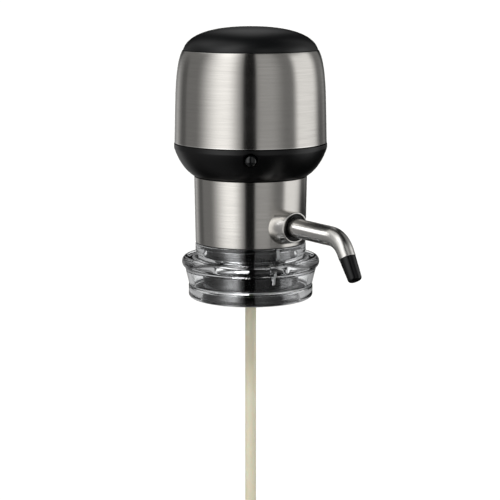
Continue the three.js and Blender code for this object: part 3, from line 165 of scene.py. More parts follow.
class CollarSizes(PropertyGroup):
    rise: length("Rim", "Height of the collar's rim over the lip seat", 7.05)
    bore_radius: length("Bore", "Radius of the collar's bore", 20.2)
    ring_wall: length("Ring wall", "Thickness of the collar's upper ring", 2.9)
    pinch: length("Waist", "Depth of the waist under the ring", 0.8)
    bead_radius: length("Bead half width", "Half width of the rolled edge", 1.9)
    bead_height: length("Bead half height", "Half height of the rolled edge", 2.3)
    bead_drop: length("Bead drop", "Middle of the rolled edge below the lip seat", 1.0)
    skirt_radius: length("Skirt foot", "Radius of the skirt at its foot", 25.85)
    skirt_depth: length("Skirt depth", "Foot of the skirt below the lip seat", 10.4)
    wall: length("Skirt wall", "Thickness of the skirt", 2.4)
    ledge: length("Ledge", "How far the ledges stand into the bore", 1.2)
    mark_proud: length("Mark height", "How far the raised marks stand out", 0.45)
    socket_radius: length("Bell bore", "Radius of the rubber bell's bore", 15.2)
    plug_radius: length("Plug radius", "Radius of the plug between its ribs", 8.4)


class DipSizes(PropertyGroup):
    radius: length("Upper radius", "Radius of the upper dip tube", 2.3)
    wall: length("Upper wall", "Thickness of the upper dip tube", 0.4)
    low_radius: length("Lower radius", "Radius of the sliding dip tube", 1.6)
    low_wall: length("Lower wall", "Thickness of the sliding dip tube", 0.5)
    slot_width: length("Slot width", "Width of the slots in the foot", 1.2)
    slot_depth: length("Slot depth", "Depth of the slots in the foot", 2.4)


class Colours(PropertyGroup):
    steel: tint("Steel", "Brushed stainless steel of the head, neck and spout", "#D3D0CB")
    cap: tint("Cap", "Soft-touch black of the push cap", "#0A0B0C")
    bowl: tint("Bowl", "Satin black of the bowl", "#050506")
    pip: tint("Pip", "Gloss black of the push pip", "#08090A")
    collar: tint("Collar", "Tint of the clear collar", "#F5F6F7")
    rubber: tint("Rubber", "Black rubber of the seals and the tip", "#040405")
    tube: tint("Dip tube", "Cream plastic of the dip tube", "#E6E0C8")


class StageSizes(PropertyGroup):
    distance: length("Camera distance", "Camera in front of the axis", 700)
    height: length("Camera height", "Camera over the lip seat", 122.7)
    pitch: angle("Camera pitch", "How far the camera looks down", 9.67)
    lens: FloatProperty(name="Lens", description="Focal length in millimetres for a 36 mm sensor",
                        default=121.8)
    floor_drop: length("Floor", "Floor below the lip seat", 300)
    ambient: share("Ambient", "Level of the plain light from all sides", 0.60)
    key: FloatProperty(name="Key light", description="Strength of the soft light from the front left",
                       default=1.5)
    background: tint("Background", "Colour behind the object", "#FFFFFF")


class AeratorSettings(PropertyGroup):
    head: PointerProperty(type=HeadSizes)
    bowl: PointerProperty(type=BowlSizes)
    neck: PointerProperty(type=NeckSizes)
    spout: PointerProperty(type=SpoutSizes)
    collar: PointerProperty(type=CollarSizes)
    dip: PointerProperty(type=DipSizes)
    colours: PointerProperty(type=Colours)
    stage: PointerProperty(type=StageSizes)


def sizes(group):
    """The sizes of one property group by name, with lengths in millimetres."""
    settings = getattr(bpy.context.scene.aerator, group)
    found = {}
    for name, prop in settings.bl_rna.properties.items():
        if prop.type == "FLOAT" and not prop.is_array:
            found[name] = getattr(settings, name) / (MM if prop.unit == "LENGTH" else 1)
    return SimpleNamespace(**found)


# Shapes

def rounded(corners):
    """Closed outline through rows (radius, height, round): both sides of a corner are cut back by its
    round, and the cut ends A and B are joined by (1-t)^2 A + 2t(1-t) C + t^2 B, with the corner as C."""
    corners = np.array(corners, float)
    corner, cut = corners[:, :2], corners[:, 2:]
    back, ahead = np.roll(corner, 1, 0) - corner, np.roll(corner, -1, 0) - corner
    back_length, ahead_length = (np.linalg.norm(side, axis=1, keepdims=True) for side in (back, ahead))
    cut = np.minimum(cut, 0.48 * np.minimum(back_length, ahead_length))
    start, end = corner + back / back_length * cut, corner + ahead / ahead_length * cut
    t = np.linspace(0, 1, ROUND_STEPS)[:, None, None]
    curves = (1 - t) ** 2 * start + 2 * t * (1 - t) * corner + t ** 2 * end
    line = curves.transpose(1, 0, 2).reshape(-1, 2)
    return line[np.linalg.norm(line - np.roll(line, 1, 0), axis=1) > 1e-6]


def rows(radius, height, edge=0.0):
    """Corner rows from arrays of radii and heights, with one round for all."""
    radius, height = np.broadcast_arrays(radius, height)
    return np.stack([radius, height, np.full(radius.shape, edge)], -1).tolist()


def azimuths(count=AROUND):
    """Even steps of one whole turn."""
    return np.linspace(0, 2 * np.pi, count, endpoint=False)


def spun(radius, height, around):
    """A point at a radius and a height stands at azimuth a as (radius sin a, -radius cos a, height)."""
    return np.stack(np.broadcast_arrays(radius * np.sin(around), -radius * np.cos(around), height), -1)


def turned(outline, around):
    """An outline of rows (radius, height), turned round the upright axis."""
    return spun(outline[:, :1], outline[:, 1:], around)


def bezier(start, low, high, end, count):
    """Cubic Bezier curve: (1-t)^3 P0 + 3t(1-t)^2 P1 + 3t^2(1-t) P2 + t^3 P3 at even steps of t."""
    t = np.linspace(0, 1, count)[:, None]
    start, low, high, end = (np.array(point, float) for point in (start, low, high, end))
    return (1 - t) ** 3 * start + 3 * t * (1 - t) ** 2 * low + 3 * t ** 2 * (1 - t) * high + t ** 3 * end


def flank(start, end, handles, count=48):
    """Bezier curve between two points (radius, height), with its handles at shares of both spans."""
    start, end = np.array(start), np.array(end)
    return bezier(start, *(start + (end - start) * handle for handle in handles), end, count)


def smooth(low, high, value):
    """Smoothstep: with s = (value - low) / (high - low) held between 0 and 1, s * s * (3 - 2 s)."""
    s = np.clip((value - low) / (high - low), 0, 1)
    return s * s * (3 - 2 * s)


def skin(name, grid, ring=True):
    """Closed mesh over a grid of points: each point joins the next along and round. Columns run round
    and close, and rows close into a ring or end in single points. Doubles are merged, normals face out."""
    count, across = grid.shape[:2]
    index = np.arange(count * across).reshape(count, across)
    following = np.roll(index, -1, 0)
    if not ring:
        index, following = index[:-1], following[:-1]
    quads = np.stack([index, np.roll(index, -1, 1), np.roll(following, -1, 1), following], -1)
    mesh = bpy.data.meshes.new(name)
    mesh.from_pydata((grid.reshape(-1, 3) * MM).tolist(), [], quads.reshape(-1, 4).tolist())
    shape = bmesh.new()
    shape.from_mesh(mesh)
    bmesh.ops.remove_doubles(shape, verts=shape.verts, dist=1e-7)
    bmesh.ops.recalc_face_normals(shape, faces=shape.faces)
    shape.to_mesh(mesh)
    shape.free()
    mesh.shade_smooth()
    mesh.set_sharp_from_angle(angle=math.radians(35))
    return mesh


def place(node, grid, body, finish, ring=True):
    """Puts one piece in the place of its CAD node, on its body, with its finish."""
    name = node + "_skin"
    piece = bpy.data.objects.new(name, skin(name, grid, ring))
    bpy.context.scene.collection.objects.link(piece)
    piece.data.materials.append(material(finish))
    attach(piece, body)
    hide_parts(node)
    return piece


def place_turned(node, corners, body, finish, count=AROUND):
    """Places a closed outline of corner rows, turned round the upright axis."""
    return place(node, turned(rounded(corners), azimuths(count)), body, finish)


def second_finish(mesh, finish, where):
    """Gives a second finish to the faces whose middle (x, y, z), in millimetres, is where it says."""
    mesh.materials.append(material(finish))
    middle = np.empty(3 * len(mesh.polygons))
    mesh.polygons.foreach_get("center", middle)
    mesh.polygons.foreach_set("material_index", where(*middle.reshape(-1, 3).T / MM).astype(np.int32))


# Materials

def add(tree, kind, inputs=None, out=0, **settings):
    """Adds a node with its settings and gives one of its outputs. An input is a value, or the socket that
    is linked to it."""
    node = tree.nodes.new(kind)
    for name, value in settings.items():
        setattr(node, name, value)
    for name, value in (inputs or {}).items():
        if isinstance(value, bpy.types.NodeSocket):
            tree.links.new(value, node.inputs[name])
        else:
            node.inputs[name].default_value = value
    return node.outputs[out] if node.outputs else None


def surfaced(name, surface):
    """A material whose surface is the shader that a function adds to its tree."""
    made = bpy.data.materials.new(name)
    made.use_nodes = True
    tree = made.node_tree
    tree.nodes.clear()
    add(tree, "ShaderNodeOutputMaterial", {"Surface": surface(tree)})
    return made


def colour(name):
    """A colour of the Colours group, or an sRGB hex value, with full alpha."""
    if name.startswith("#"):
        return (*linear(name), 1)
    return (*getattr(bpy.context.scene.aerator.colours, name), 1)


def pattern(tree, size, detail=2.0):
    """A random pattern on Object coordinates, whose grain is size = (x, y, z) millimetres."""
    where = add(tree, "ShaderNodeTexCoord", out="Object")
    scaled = add(tree, "ShaderNodeMapping", {"Vector": where, "Scale": [1 / (step * MM) for step in size]})
    return add(tree, "ShaderNodeTexNoise", {"Vector": scaled, "Scale": 1.0, "Detail": detail}, out="Fac")


MIDDLE = {"From Min": 0.3, "From Max": 0.7}      # the part of its range that a pattern mostly fills


def patterned(tree, patches, base, shade, gloss, roughness, height, depth):
    """One pattern mixes the base colour with its shade, the next carries the roughness between its two
    values, and the last makes bump of the given depth in millimetres."""
    share_of_shade = add(tree, "ShaderNodeMapRange", {"Value": patches, **MIDDLE})
    return {
        "Base Color": add(tree, "ShaderNodeMix", {0: share_of_shade, 6: base, 7: shade}, out=2,
                          data_type="RGBA"),
        "Roughness": add(tree, "ShaderNodeMapRange", {"Value": gloss, **MIDDLE, "To Min": roughness[0],
                                                      "To Max": roughness[1]}),
        "Normal": add(tree, "ShaderNodeBump", {"Height": height, "Distance": depth * MM, "Strength": 1.0}),
    }


def grained(name, base, shade, roughness, grain, depth, mottle=40.0, **extra):
    """A fine noise of the grain's size, in millimetres, makes the bump and the changes of gloss, and a
    wide noise of the mottle's size mixes the base colour with its shade."""
    def surface(tree):
        fine = pattern(tree, grain if isinstance(grain, tuple) else (grain,) * 3, 3.0)
        wide = pattern(tree, (mottle,) * 3)
        inputs = patterned(tree, wide, colour(base), colour(shade), fine, roughness, fine, depth)
        return add(tree, "ShaderNodeBsdfPrincipled", {**inputs, **extra})
    return surfaced(name, surface)


WEAR = (60.0, 60.0, 12.0)     # size of the brushing's duller bands
GROOVE_SHADE = 0.90           # colour in the brushing's grooves, as a share of the steel's


def brushed(name, line, streak, roughness, depth, anisotropic, base="steel"):
    """Stainless steel brushed round one axis: a noise stretched to streak x line millimetres gives the
    lines their bump, shade and gloss, which wide bands dull, and the highlight spreads across them."""
    def surface(tree):
        lines = pattern(tree, (streak, streak, line), 4.0)
        dull = add(tree, "ShaderNodeMath", {0: lines, 1: pattern(tree, WEAR)}, operation="MAXIMUM")
        steel = colour(base)
        shade = (*(channel * GROOVE_SHADE for channel in steel[:3]), 1)
        inputs = {**patterned(tree, lines, steel, shade, dull, roughness, lines, depth), "Metallic": 1.0}
        if anisotropic:
            inputs.update({"Anisotropic": anisotropic, "Anisotropic Rotation": 0.25,
                           "Tangent": add(tree, "ShaderNodeTangent", direction_type="RADIAL", axis="Z")})
        return add(tree, "ShaderNodeBsdfPrincipled", inputs)
    return surfaced(name, surface)


def clear_acrylic(name):
    """Injection-moulded acrylic: clear, with slow waves of the mould's flow that bend what shows through."""
    def surface(tree):
        flow = pattern(tree, (6.0, 6.0, 9.0), 1.0)
        return add(tree, "ShaderNodeBsdfPrincipled", {
            "Base Color": colour("collar"),
            "Roughness": add(tree, "ShaderNodeMapRange", {"Value": flow, **MIDDLE, "To Min": 0.015,
                                                          "To Max": 0.045}),
            "Transmission Weight": 1.0,
            "IOR": 1.49,
            "Normal": add(tree, "ShaderNodeBump", {"Height": flow, "Distance": 0.02 * MM, "Strength": 1.0}),
        })
    return surfaced(name, surface)


def circuit_board(name):
    """Glass-fibre board with green solder mask: raised tracks 0.6 mm wide show through the lacquer."""
    def surface(tree):
        tracks = add(tree, "ShaderNodeTexBrick", {
            "Vector": add(tree, "ShaderNodeTexCoord", out="Object"), "Scale": 1 / (4.0 * MM),
            "Mortar Size": 0.08, "Mortar Smooth": 0.2, "Color1": colour("#1C5637"),
            "Color2": colour("#215F3E"), "Mortar": colour("#3C8A54")}, out="Color")
        bump = add(tree, "ShaderNodeBump", {"Height": tracks.node.outputs["Fac"], "Distance": 0.05 * MM})
        return add(tree, "ShaderNodeBsdfPrincipled",
                   {"Base Color": tracks, "Roughness": 0.3, "IOR": 1.5, "Normal": bump})
    return surfaced(name, surface)


# What both polished blacks share: a coat and a high index, matched to how strongly the real ones mirror
# the studio behind the clear collar.
POLISHED = {"mottle": 8.0, "IOR": 1.75, "Coat Weight": 1.0, "Coat Roughness": 0.05}

RECIPES = {
    # Stainless steel brushed by a belt while the shell turns: fine lines round the axis, and highlights
    # that run up and down. The real lines are 0.05 mm apart, and are drawn at 0.3 mm so that they show.
    "brushed_stainless_steel": lambda name: brushed(name, 0.3, 16.0, (0.16, 0.24), 0.0016, 0.85),
    # Cut edges of the sleeve at its foot and top: smooth steel in a lighter colour than the sleeve's, a
    # painted highlight for the bright line that these edges catch.
    "edge_painted_highlight": lambda name: brushed(name, 0.5, 4.0, (0.16, 0.20), 0.0005, 0.0, "#F4F2EE"),
    # Stainless tube, polished along its length after bending: soft streaks with no grain across.
    "satin_stainless_tube": lambda name: brushed(name, 2.0, 2.0, (0.23, 0.27), 0.0003, 0.0, "#EDEBE7"),
    # ABS with soft-touch lacquer: matt, with a grain of 0.25 mm and broad soft highlights.
    "soft_touch_black_abs": lambda name: grained(name, "cap", "#0C0D0E", (0.30, 0.36), 0.25, 0.004, IOR=1.46),
    # ABS from a finely blasted mould: satin black, grain 0.2 mm.
    "satin_black_abs": lambda name: grained(name, "bowl", "#070708", (0.28, 0.34), 0.2, 0.002, IOR=1.44),
    # ABS from a polished mould: a glossy black that mirrors the lamps, with faint ripples.
    "gloss_black_abs": lambda name: grained(name, "pip", "#0C0D0F", (0.10, 0.15), 1.2, 0.002, IOR=1.53),
    "clear_moulded_acrylic": clear_acrylic,
    # Acrylic from an etched patch of the mould: frosted, so that the marks and the feet of the skirt and
    # of the lower ring read pale on the clear collar.
    "frosted_acrylic": lambda name: grained(name, "#D4D6D7", "#C6C8CA", (0.38, 0.5), 0.3, 0.006, IOR=1.49,
                                            **{"Transmission Weight": 0.55}),
    # Rubber and nylon from polished moulds: near mirrors in black, which show the studio through the collar.
    "polished_black_rubber": lambda name: grained(name, "#050506", "#070708", (0.05, 0.08), 0.5, 0.0003,
                                                  **POLISHED),
    "polished_black_nylon": lambda name: grained(name, "#050506", "#070708", (0.05, 0.08), 0.5, 0.0003,
                                                 **POLISHED),
    # Nitrile rubber from a polished mould: black with a dull gloss and a bloom of pale patches.
    "moulded_black_rubber": lambda name: grained(name, "rubber", "#070708", (0.18, 0.25), 0.4, 0.002,
                                                 IOR=1.40, mottle=8.0),
    # Glass-filled nylon: black and matt, with fibres that show as short flecks.
    "moulded_black_nylon": lambda name: grained(name, "#17181A", "#222326", (0.42, 0.58), (0.2, 0.2, 0.9),
                                                0.012, IOR=1.53, mottle=12.0),
    # Extruded polypropylene: cream, a little waxy, with draw lines along the tube.
    "extruded_cream_polypropylene": lambda name: grained(
        name, "tube", "#DDD6BC", (0.32, 0.45), (0.35, 0.35, 30.0), 0.006, IOR=1.49, mottle=25.0,
        **{"Subsurface Weight": 0.25, "Subsurface Scale": 0.6 * MM}),
    # Mild steel, drawn and nickel plated: grey, with faint draw marks upwards.
    "drawn_plated_steel": lambda name: grained(name, "#B6B8BA", "#9DA0A3", (0.26, 0.40), (0.3, 0.3, 6.0),
                                               0.006, Metallic=1.0),
    # Phosphor bronze strip, rolled and stamped: warm, with rolling lines.
    "rolled_phosphor_bronze": lambda name: grained(name, "#C9A45B", "#A88443", (0.24, 0.40),
                                                   (5.0, 0.25, 0.25), 0.004, Metallic=1.0, mottle=6.0),
    # Printed PVC shrink sleeve on a cell: glossy grey with a slight orange peel.
    "shrink_sleeved_cell": lambda name: grained(name, "#5D6166", "#4C5055", (0.16, 0.28), 0.9, 0.010,
                                                IOR=1.54, mottle=14.0),
    "green_circuit_board": circuit_board,
    # Cast silicone: milky and half clear, with a dull skin.
    "cast_clear_silicone": lambda name: grained(
        name, "#DFE2E1", "#CDD2D1", (0.38, 0.52), 0.8, 0.008, IOR=1.41,
        **{"Transmission Weight": 0.35, "Subsurface Weight": 0.2, "Subsurface Scale": 1.5 * MM}),
    # Sintered ferrite: charcoal and granular, with a dull metallic cast.
    "sintered_ferrite": lambda name: grained(name, "#3A3A3C", "#2B2B2E", (0.50, 0.72), 0.15, 0.020,
                                             Metallic=0.35, mottle=3.0),
}

CARRIED = {
    "moulded_black_nylon": ("neck_chassis", "head_liner", "battery_carrier", "motor_end_cap", "pump_housing",
                            "pump_valve_cap"),
    "moulded_black_rubber": ("face_seal", "tube_grommet", "pump_diaphragm", "pump_cushion"),
    "drawn_plated_steel": ("neck_screw_1", "neck_screw_2", "neck_screw_3", "motor_can",
                           "motor_armature"),
    "rolled_phosphor_bronze": ("lower_strip_1", "lower_strip_2", "lower_strip_3", "upper_strip_1",
                               "upper_strip_2", "end_contact_1", "end_contact_2"),
    "shrink_sleeved_cell": tuple(f"cell_{i}" for i in range(1, 7)),
    "green_circuit_board": ("contact_board",),
    "cast_clear_silicone": ("check_valve", "air_hose", "flow_elbow"),
    "sintered_ferrite": ("motor_magnet_1", "motor_magnet_2"),
    "satin_black_abs": ("press_switch",),
    "extruded_cream_polypropylene": ("pump_eccentric",),
}


def material(name):
    """The finish of that name, made once from its recipe."""
    return bpy.data.materials.get(name) or RECIPES[name](name)


# Pieces

FOOT_HIGHLIGHT = 0.4                # height of the painted highlight on the sleeve's cut edge at its foot
TOP_HIGHLIGHT = 0.12          # and at its top
SLEEVE_HANDLES = ((0.16, 0.45), (0.03, 0.834))


class AERATOR_OT_head_sleeve(Operator):
    """Builds the brushed steel sleeve of the head, whose flank is a Bezier curve that leans in"""

    bl_idname = "aerator.head_sleeve"
    bl_label = "Head sleeve"

    def execute(self, context):
        head = sizes("head")
        foot, top, _ = reach("head_sleeve")
        curve = flank((head.foot_radius, foot), (head.foot_radius - head.taper, top), SLEEVE_HANDLES)
        lip = head.foot_radius - head.taper - head.lip
        lip_z = top - head.lip_depth
        inner = curve[curve[:, 1] < lip_z - 0.5][::-1] - (head.wall, 0)
        under_lip = np.interp(lip_z, curve[:, 1], curve[:, 0]) - head.wall
        corners = [
            *rows(*curve[:1].T, 0.1), [head.foot_radius, foot + FOOT_HIGHLIGHT, 0], *rows(*curve[1:-1].T),
            *rows(*curve[-1:].T, 0.1), [lip, top, 0.05], [lip, lip_z, 0.1], [under_lip, lip_z, 0],
            *rows(*inner.T),
        ]
        sleeve = place_turned("head_sleeve", corners, "head", "brushed_stainless_steel")
        # The cut edges at the foot and the top get the lighter steel: a painted highlight.
        second_finish(sleeve.data, "edge_painted_highlight", lambda x, y, z: (z < foot + FOOT_HIGHLIGHT) | (z > top - TOP_HIGHLIGHT))
        return {"FINISHED"}


class AERATOR_OT_push_cap(Operator):
    """Builds the soft-touch push cap: a dome on a Bezier curve, with its skirt, hook and stem"""

    bl_idname = "aerator.push_cap"
    bl_label = "Push cap"

    def execute(self, context):
        head = sizes("head")
        foot, _, hook = reach("push_cap")
        seam_gap, stem, switch_gap, ease, hook_tall = 0.3, 4.0, 2.3, 0.2, 1.0
        seam = reach("head_sleeve")[1] + seam_gap
        top, cap = seam + head.cap_height, head.cap_radius
        outer = bezier((cap, seam), (cap - head.cap_lean, seam + head.cap_height / 2), (head.cap_crown, top),
                       (0, top), 48)
        inner_radius, inner_height = cap - head.cap_wall, head.cap_height - head.cap_wall
        stem_end = reach("press_switch")[1] + switch_gap
        inner = dome(inner_radius, inner_height, 24) + (0, seam)
        inner = inner[inner[:, 0] > stem + 1][::-1]
        outline = np.concatenate([
            [(0, stem_end), (stem - 0.3, stem_end), (stem, stem_end + 0.3),
             (stem, seam + inner_height - 0.4)],
            inner,
            [(inner_radius, foot + ease), (inner_radius + ease, foot), (hook - ease, foot),
             (hook, foot + ease), (hook, foot + hook_tall - ease), (hook - ease, foot + hook_tall),
             (cap, foot + hook_tall), (cap, seam - 0.25), (cap - 0.15, seam - 0.1)],
            outer,
        ])
        place("push_cap", turned(outline, azimuths()), "cap", "soft_touch_black_abs",
              ring=False)
        return {"FINISHED"}


class AERATOR_OT_cap_spring(Operator):
    """Builds the return spring under the push cap, with its coils as they stand when the cap is up"""

    bl_idname = "aerator.cap_spring"
    bl_label = "Cap spring"

    def execute(self, context):
        foot, top, reached = reach("cap_spring")
        wire, turns, travel = 0.45, 3, 2.0
        grid = helix(reached - wire, foot + wire, top - wire, wire, turns)
        spring = place("cap_spring", grid, "head", "drawn_plated_steel", ring=False)
        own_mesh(spring)
        return {"FINISHED"}


def helix(radius, foot, top, wire, turns):
    """Wire wound on a helix: at turn angle a its middle is (radius cos a, radius sin a, z), where z rises
    evenly from foot to top, and a ring's point is the middle + wire (cos(t) outwards + sin(t) binormal).
    The first and the last ring shrink to points."""
    a = np.linspace(0, 2 * np.pi * turns, AROUND_SMALL * turns)
    z = np.linspace(foot, top, len(a))
    a, z = (np.concatenate([line[:1], line, line[-1:]]) for line in (a, z))
    outwards = np.stack([np.cos(a), np.sin(a), 0 * a], -1)
    rise = (top - foot) / (2 * np.pi * turns)
    forward = np.stack([-radius * np.sin(a), radius * np.cos(a), rise + 0 * a], -1) / math.hypot(radius, rise)
    t = azimuths(12)[:, None]
    thick = np.full((len(a), 1, 1), wire)
    thick[[0, -1]] = 0
    ring = np.cos(t) * outwards[:, None] + np.sin(t) * np.cross(outwards, forward)[:, None]
    return outwards[:, None] * radius + np.stack([0 * z, 0 * z, z], -1)[:, None] + thick * ring


def dome(radius, height, count):
    """Quarter of an ellipse from its rim towards its crown: (radius cos t, height sin t)."""
    t = np.linspace(0, np.pi / 2, count, endpoint=False)
    return np.stack([radius * np.cos(t), height * np.sin(t)], -1)


BLOCK = 24               # cells across the square of the bowl's grid that holds the pip's well
BLOCK_HALF = 3.55        # half side of that square
BOWL_HANDLES = ((0.54, 0.227), (0.856, 0.672))


class AERATOR_OT_bowl(Operator):
    """Builds the satin black bowl, turned from a Bezier flank, with the round well of its push pip"""

    bl_idname = "aerator.bowl"
    bl_label = "Bowl"

    def execute(self, context):
        bowl = sizes("bowl")
        foot, top, _ = reach("bowl")
        rim_z = top - bowl.spigot_rise
        curve = flank((bowl.root_radius, foot), (bowl.rim_radius, rim_z - bowl.band), BOWL_HANDLES, 240)
        pip_z = rim_z - bowl.pip_drop
        root_edge, bore, neck_wall, floor, shelf = 0.5, 10.0, 22.9, foot + 2.0, foot + 6.5
        lower = np.linspace(foot + root_edge, pip_z - BLOCK_HALF, 30)
        block = np.linspace(pip_z - BLOCK_HALF, pip_z + BLOCK_HALF, BLOCK + 1)
        heights = np.concatenate([lower[:-1], block])
        spigot_in = bowl.spigot_radius - 1.4
        start = rounded([[bore, foot, 0.2], [bowl.root_radius, foot, 0.4],
                         [bowl.root_radius, foot + root_edge, 0]])[:-1]
        start = start[start[:, 1] < foot + root_edge - 0.05]
        outer = np.stack([np.interp(heights, curve[:, 1], curve[:, 0]), heights], -1)
        end = rounded([
            [bowl.rim_radius, block[-1] + 0.01, 0], [bowl.rim_radius, rim_z, 0.3],
            [bowl.spigot_radius, rim_z, 0.1], [bowl.spigot_radius, top, 0.3], [spigot_in, top, 0.3],
            [spigot_in, shelf, 1.5], [neck_wall, floor, 0.8], [bore, floor, 0.2],
        ])
        outline = np.concatenate([start, outer, end])
        half = BLOCK_HALF / bowl.rim_radius
        around = np.concatenate([np.linspace(-half, half, BLOCK + 1),
                                 np.linspace(half, 2 * np.pi - half, AROUND)[1:-1]])
        grid = turned(outline, around)
        first = len(start) + len(lower) - 1
        sink_well(grid[first:first + BLOCK + 1, :BLOCK + 1], bowl, curve, pip_z)
        place("bowl", grid, "neck", "satin_black_abs")
        return {"FINISHED"}


def sink_well(block, bowl, curve, pip_z):
    """Square rings of the grid become circles round the pip: a ring's corner (u, v) goes to its
    direction times the ring's radius, blended with the square outside the well's edge. Then y runs from
    the bowl's surface, -sqrt(R^2 - x^2), to the flat floor of the well by each ring's depth share."""
    well, well_depth = bowl.pip_radius + bowl.pip_gap, 3.45
    half_rings = BLOCK // 2
    across = np.linspace(-1, 1, BLOCK + 1)
    u, v = np.meshgrid(across, across)
    ring = np.maximum(np.abs(u), np.abs(v))
    number = np.rint(ring * half_rings).astype(int)
    radii = np.array([*np.linspace(0, well - 0.25, 7), well, well, well + 0.05, well + 0.3])
    depths = np.array([1.0] * 7 + [0.95, 0.09, 0.025, 0.0])
    edge = len(radii) - 1
    away = np.hypot(u, v) + 1e-12
    safe = np.maximum(ring, 1e-12)
    radius = radii[np.minimum(number, edge)]
    outside = np.clip((number - edge) / (half_rings - edge), 0, 1)
    x = (1 - outside) * radius * u / away + outside * u / safe * BLOCK_HALF
    z = pip_z + (1 - outside) * radius * v / away + outside * v / safe * BLOCK_HALF
    surface = np.sqrt(np.interp(z, curve[:, 1], curve[:, 0]) ** 2 - x ** 2)
    depth = np.where(number <= edge, depths[np.minimum(number, edge)], 0)
    y = -((1 - depth) * surface + depth * (bowl.rim_radius - well_depth))
    inside = number < half_rings
    block[inside] = np.stack([x, y, z], -1)[inside]


class AERATOR_OT_release_pip(Operator):
    """Builds the gloss black push pip: a shallow dome turned about the line to the front"""

    bl_idname = "aerator.release_pip"
    bl_label = "Push pip"

    def execute(self, context):
        bowl = sizes("bowl")
        low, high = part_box("release_pip")
        middle = (low.z + high.z) / 2 / MM
        face, rise, depth, ease = -low.y / MM, 1.9, 2.35, 0.2
        outline = np.concatenate([
            [(0, face - depth), (bowl.pip_radius - ease, face - depth),
             (bowl.pip_radius, face - depth + ease)],
            dome(bowl.pip_radius, rise, 16) + (0, face - rise), [(0, face)]])
        grid = turned(outline, azimuths(AROUND_SMALL))
        grid = np.stack([grid[..., 0], -grid[..., 2], middle - grid[..., 1]], -1)
        place("release_pip", grid, "pip", "gloss_black_abs", ring=False)
        return {"FINISHED"}


class AERATOR_OT_neck(Operator):
    """Builds the brushed steel neck sleeve and the black ring under it, whose brim is painted shade in the
    seam
    """

    bl_idname = "aerator.neck"
    bl_label = "Neck sleeve and ring"

    def execute(self, context):
        neck = sizes("neck")
        foot, top, _ = reach("neck_sleeve")
        wide = neck.foot_radius + neck.flare
        corners = [[neck.foot_radius - neck.wall, foot, 0.1], [neck.foot_radius, foot, 0.25],
                   [wide, top, 0.2], [wide - neck.wall, top, 0.1]]
        place_turned("neck_sleeve", corners, "neck", "brushed_stainless_steel")
        foot, top, radius = reach("neck_base_ring")
        # The ring's brim reaches out under the neck sleeve's foot, over the collar's rim: black rubber put in
        # the seam as painted shade, for the dark line of shadow there.
        bore, rim, brim = 19.0, sizes("collar").rise + 0.1, neck.foot_radius - 0.4
        brim_top, core = rim + 0.27, radius + 0.3
        corners = [[bore, foot, 0.2], [radius, foot, 0.3], [radius, rim, 0.03], [brim, rim, 0.05],
                   [brim, brim_top, 0.05], [core, brim_top, 0.03], [core, top, 0.02], [bore, top, 0.2]]
        place_turned("neck_base_ring", corners, "neck", "moulded_black_rubber")
        return {"FINISHED"}


def spout_axes(spout):
    """Start of the spout's line on the neck's axis, and its unit directions. With azimuth a, droop d and
    level = (sin a, -cos a, 0), out is level cos(d) - up sin(d), down is -level sin(d) - up cos(d), and
    sideways is their cross product."""
    a, d = spout.azimuth, spout.droop
    level = np.array([math.sin(a), -math.cos(a), 0])
    out = level * math.cos(d) - np.array([0, 0, math.sin(d)])
    down = -level * math.sin(d) - np.array([0, 0, math.cos(d)])
    return np.array([0, 0, spout.height]), out, down, np.cross(out, down)


def along_spout(spout, outline, around, bends=True):
    """Sweeps an outline of (distance from the axis of the neck, radius of the tube) along the spout. The
    line is straight, then an arc of the bend radius R with place R sin(q) out and R (1 - cos(q)) down,
    then straight again. A ring's point is the line's point + radius (cos(t) normal + sin(t) side)."""
    start, out, down, side = spout_axes(spout)
    distance, radius = outline[:, 0, None], outline[:, 1, None, None]
    bend_at = spout_reach() + spout.run
    turn = np.clip((distance - bend_at) / spout.bend_radius, 0, spout.bend if bends else 0)
    past = np.maximum(distance - bend_at - spout.bend_radius * spout.bend, 0) if bends else 0 * distance
    before = np.minimum(distance, bend_at) if bends else distance
    heading = np.cos(turn) * out + np.sin(turn) * down
    line = start + (before + spout.bend_radius * np.sin(turn)) * out
    line = line + spout.bend_radius * (1 - np.cos(turn)) * down + past * heading
    normal = np.cos(turn) * down - np.sin(turn) * out
    t = around[None, :, None]
    return line[:, None] + radius * (np.cos(t) * normal[:, None] + np.sin(t) * side)


def spout_reach():
    """Distance of the boss's front face from the neck's axis."""
    return sizes("neck").foot_radius + sizes("spout").stand


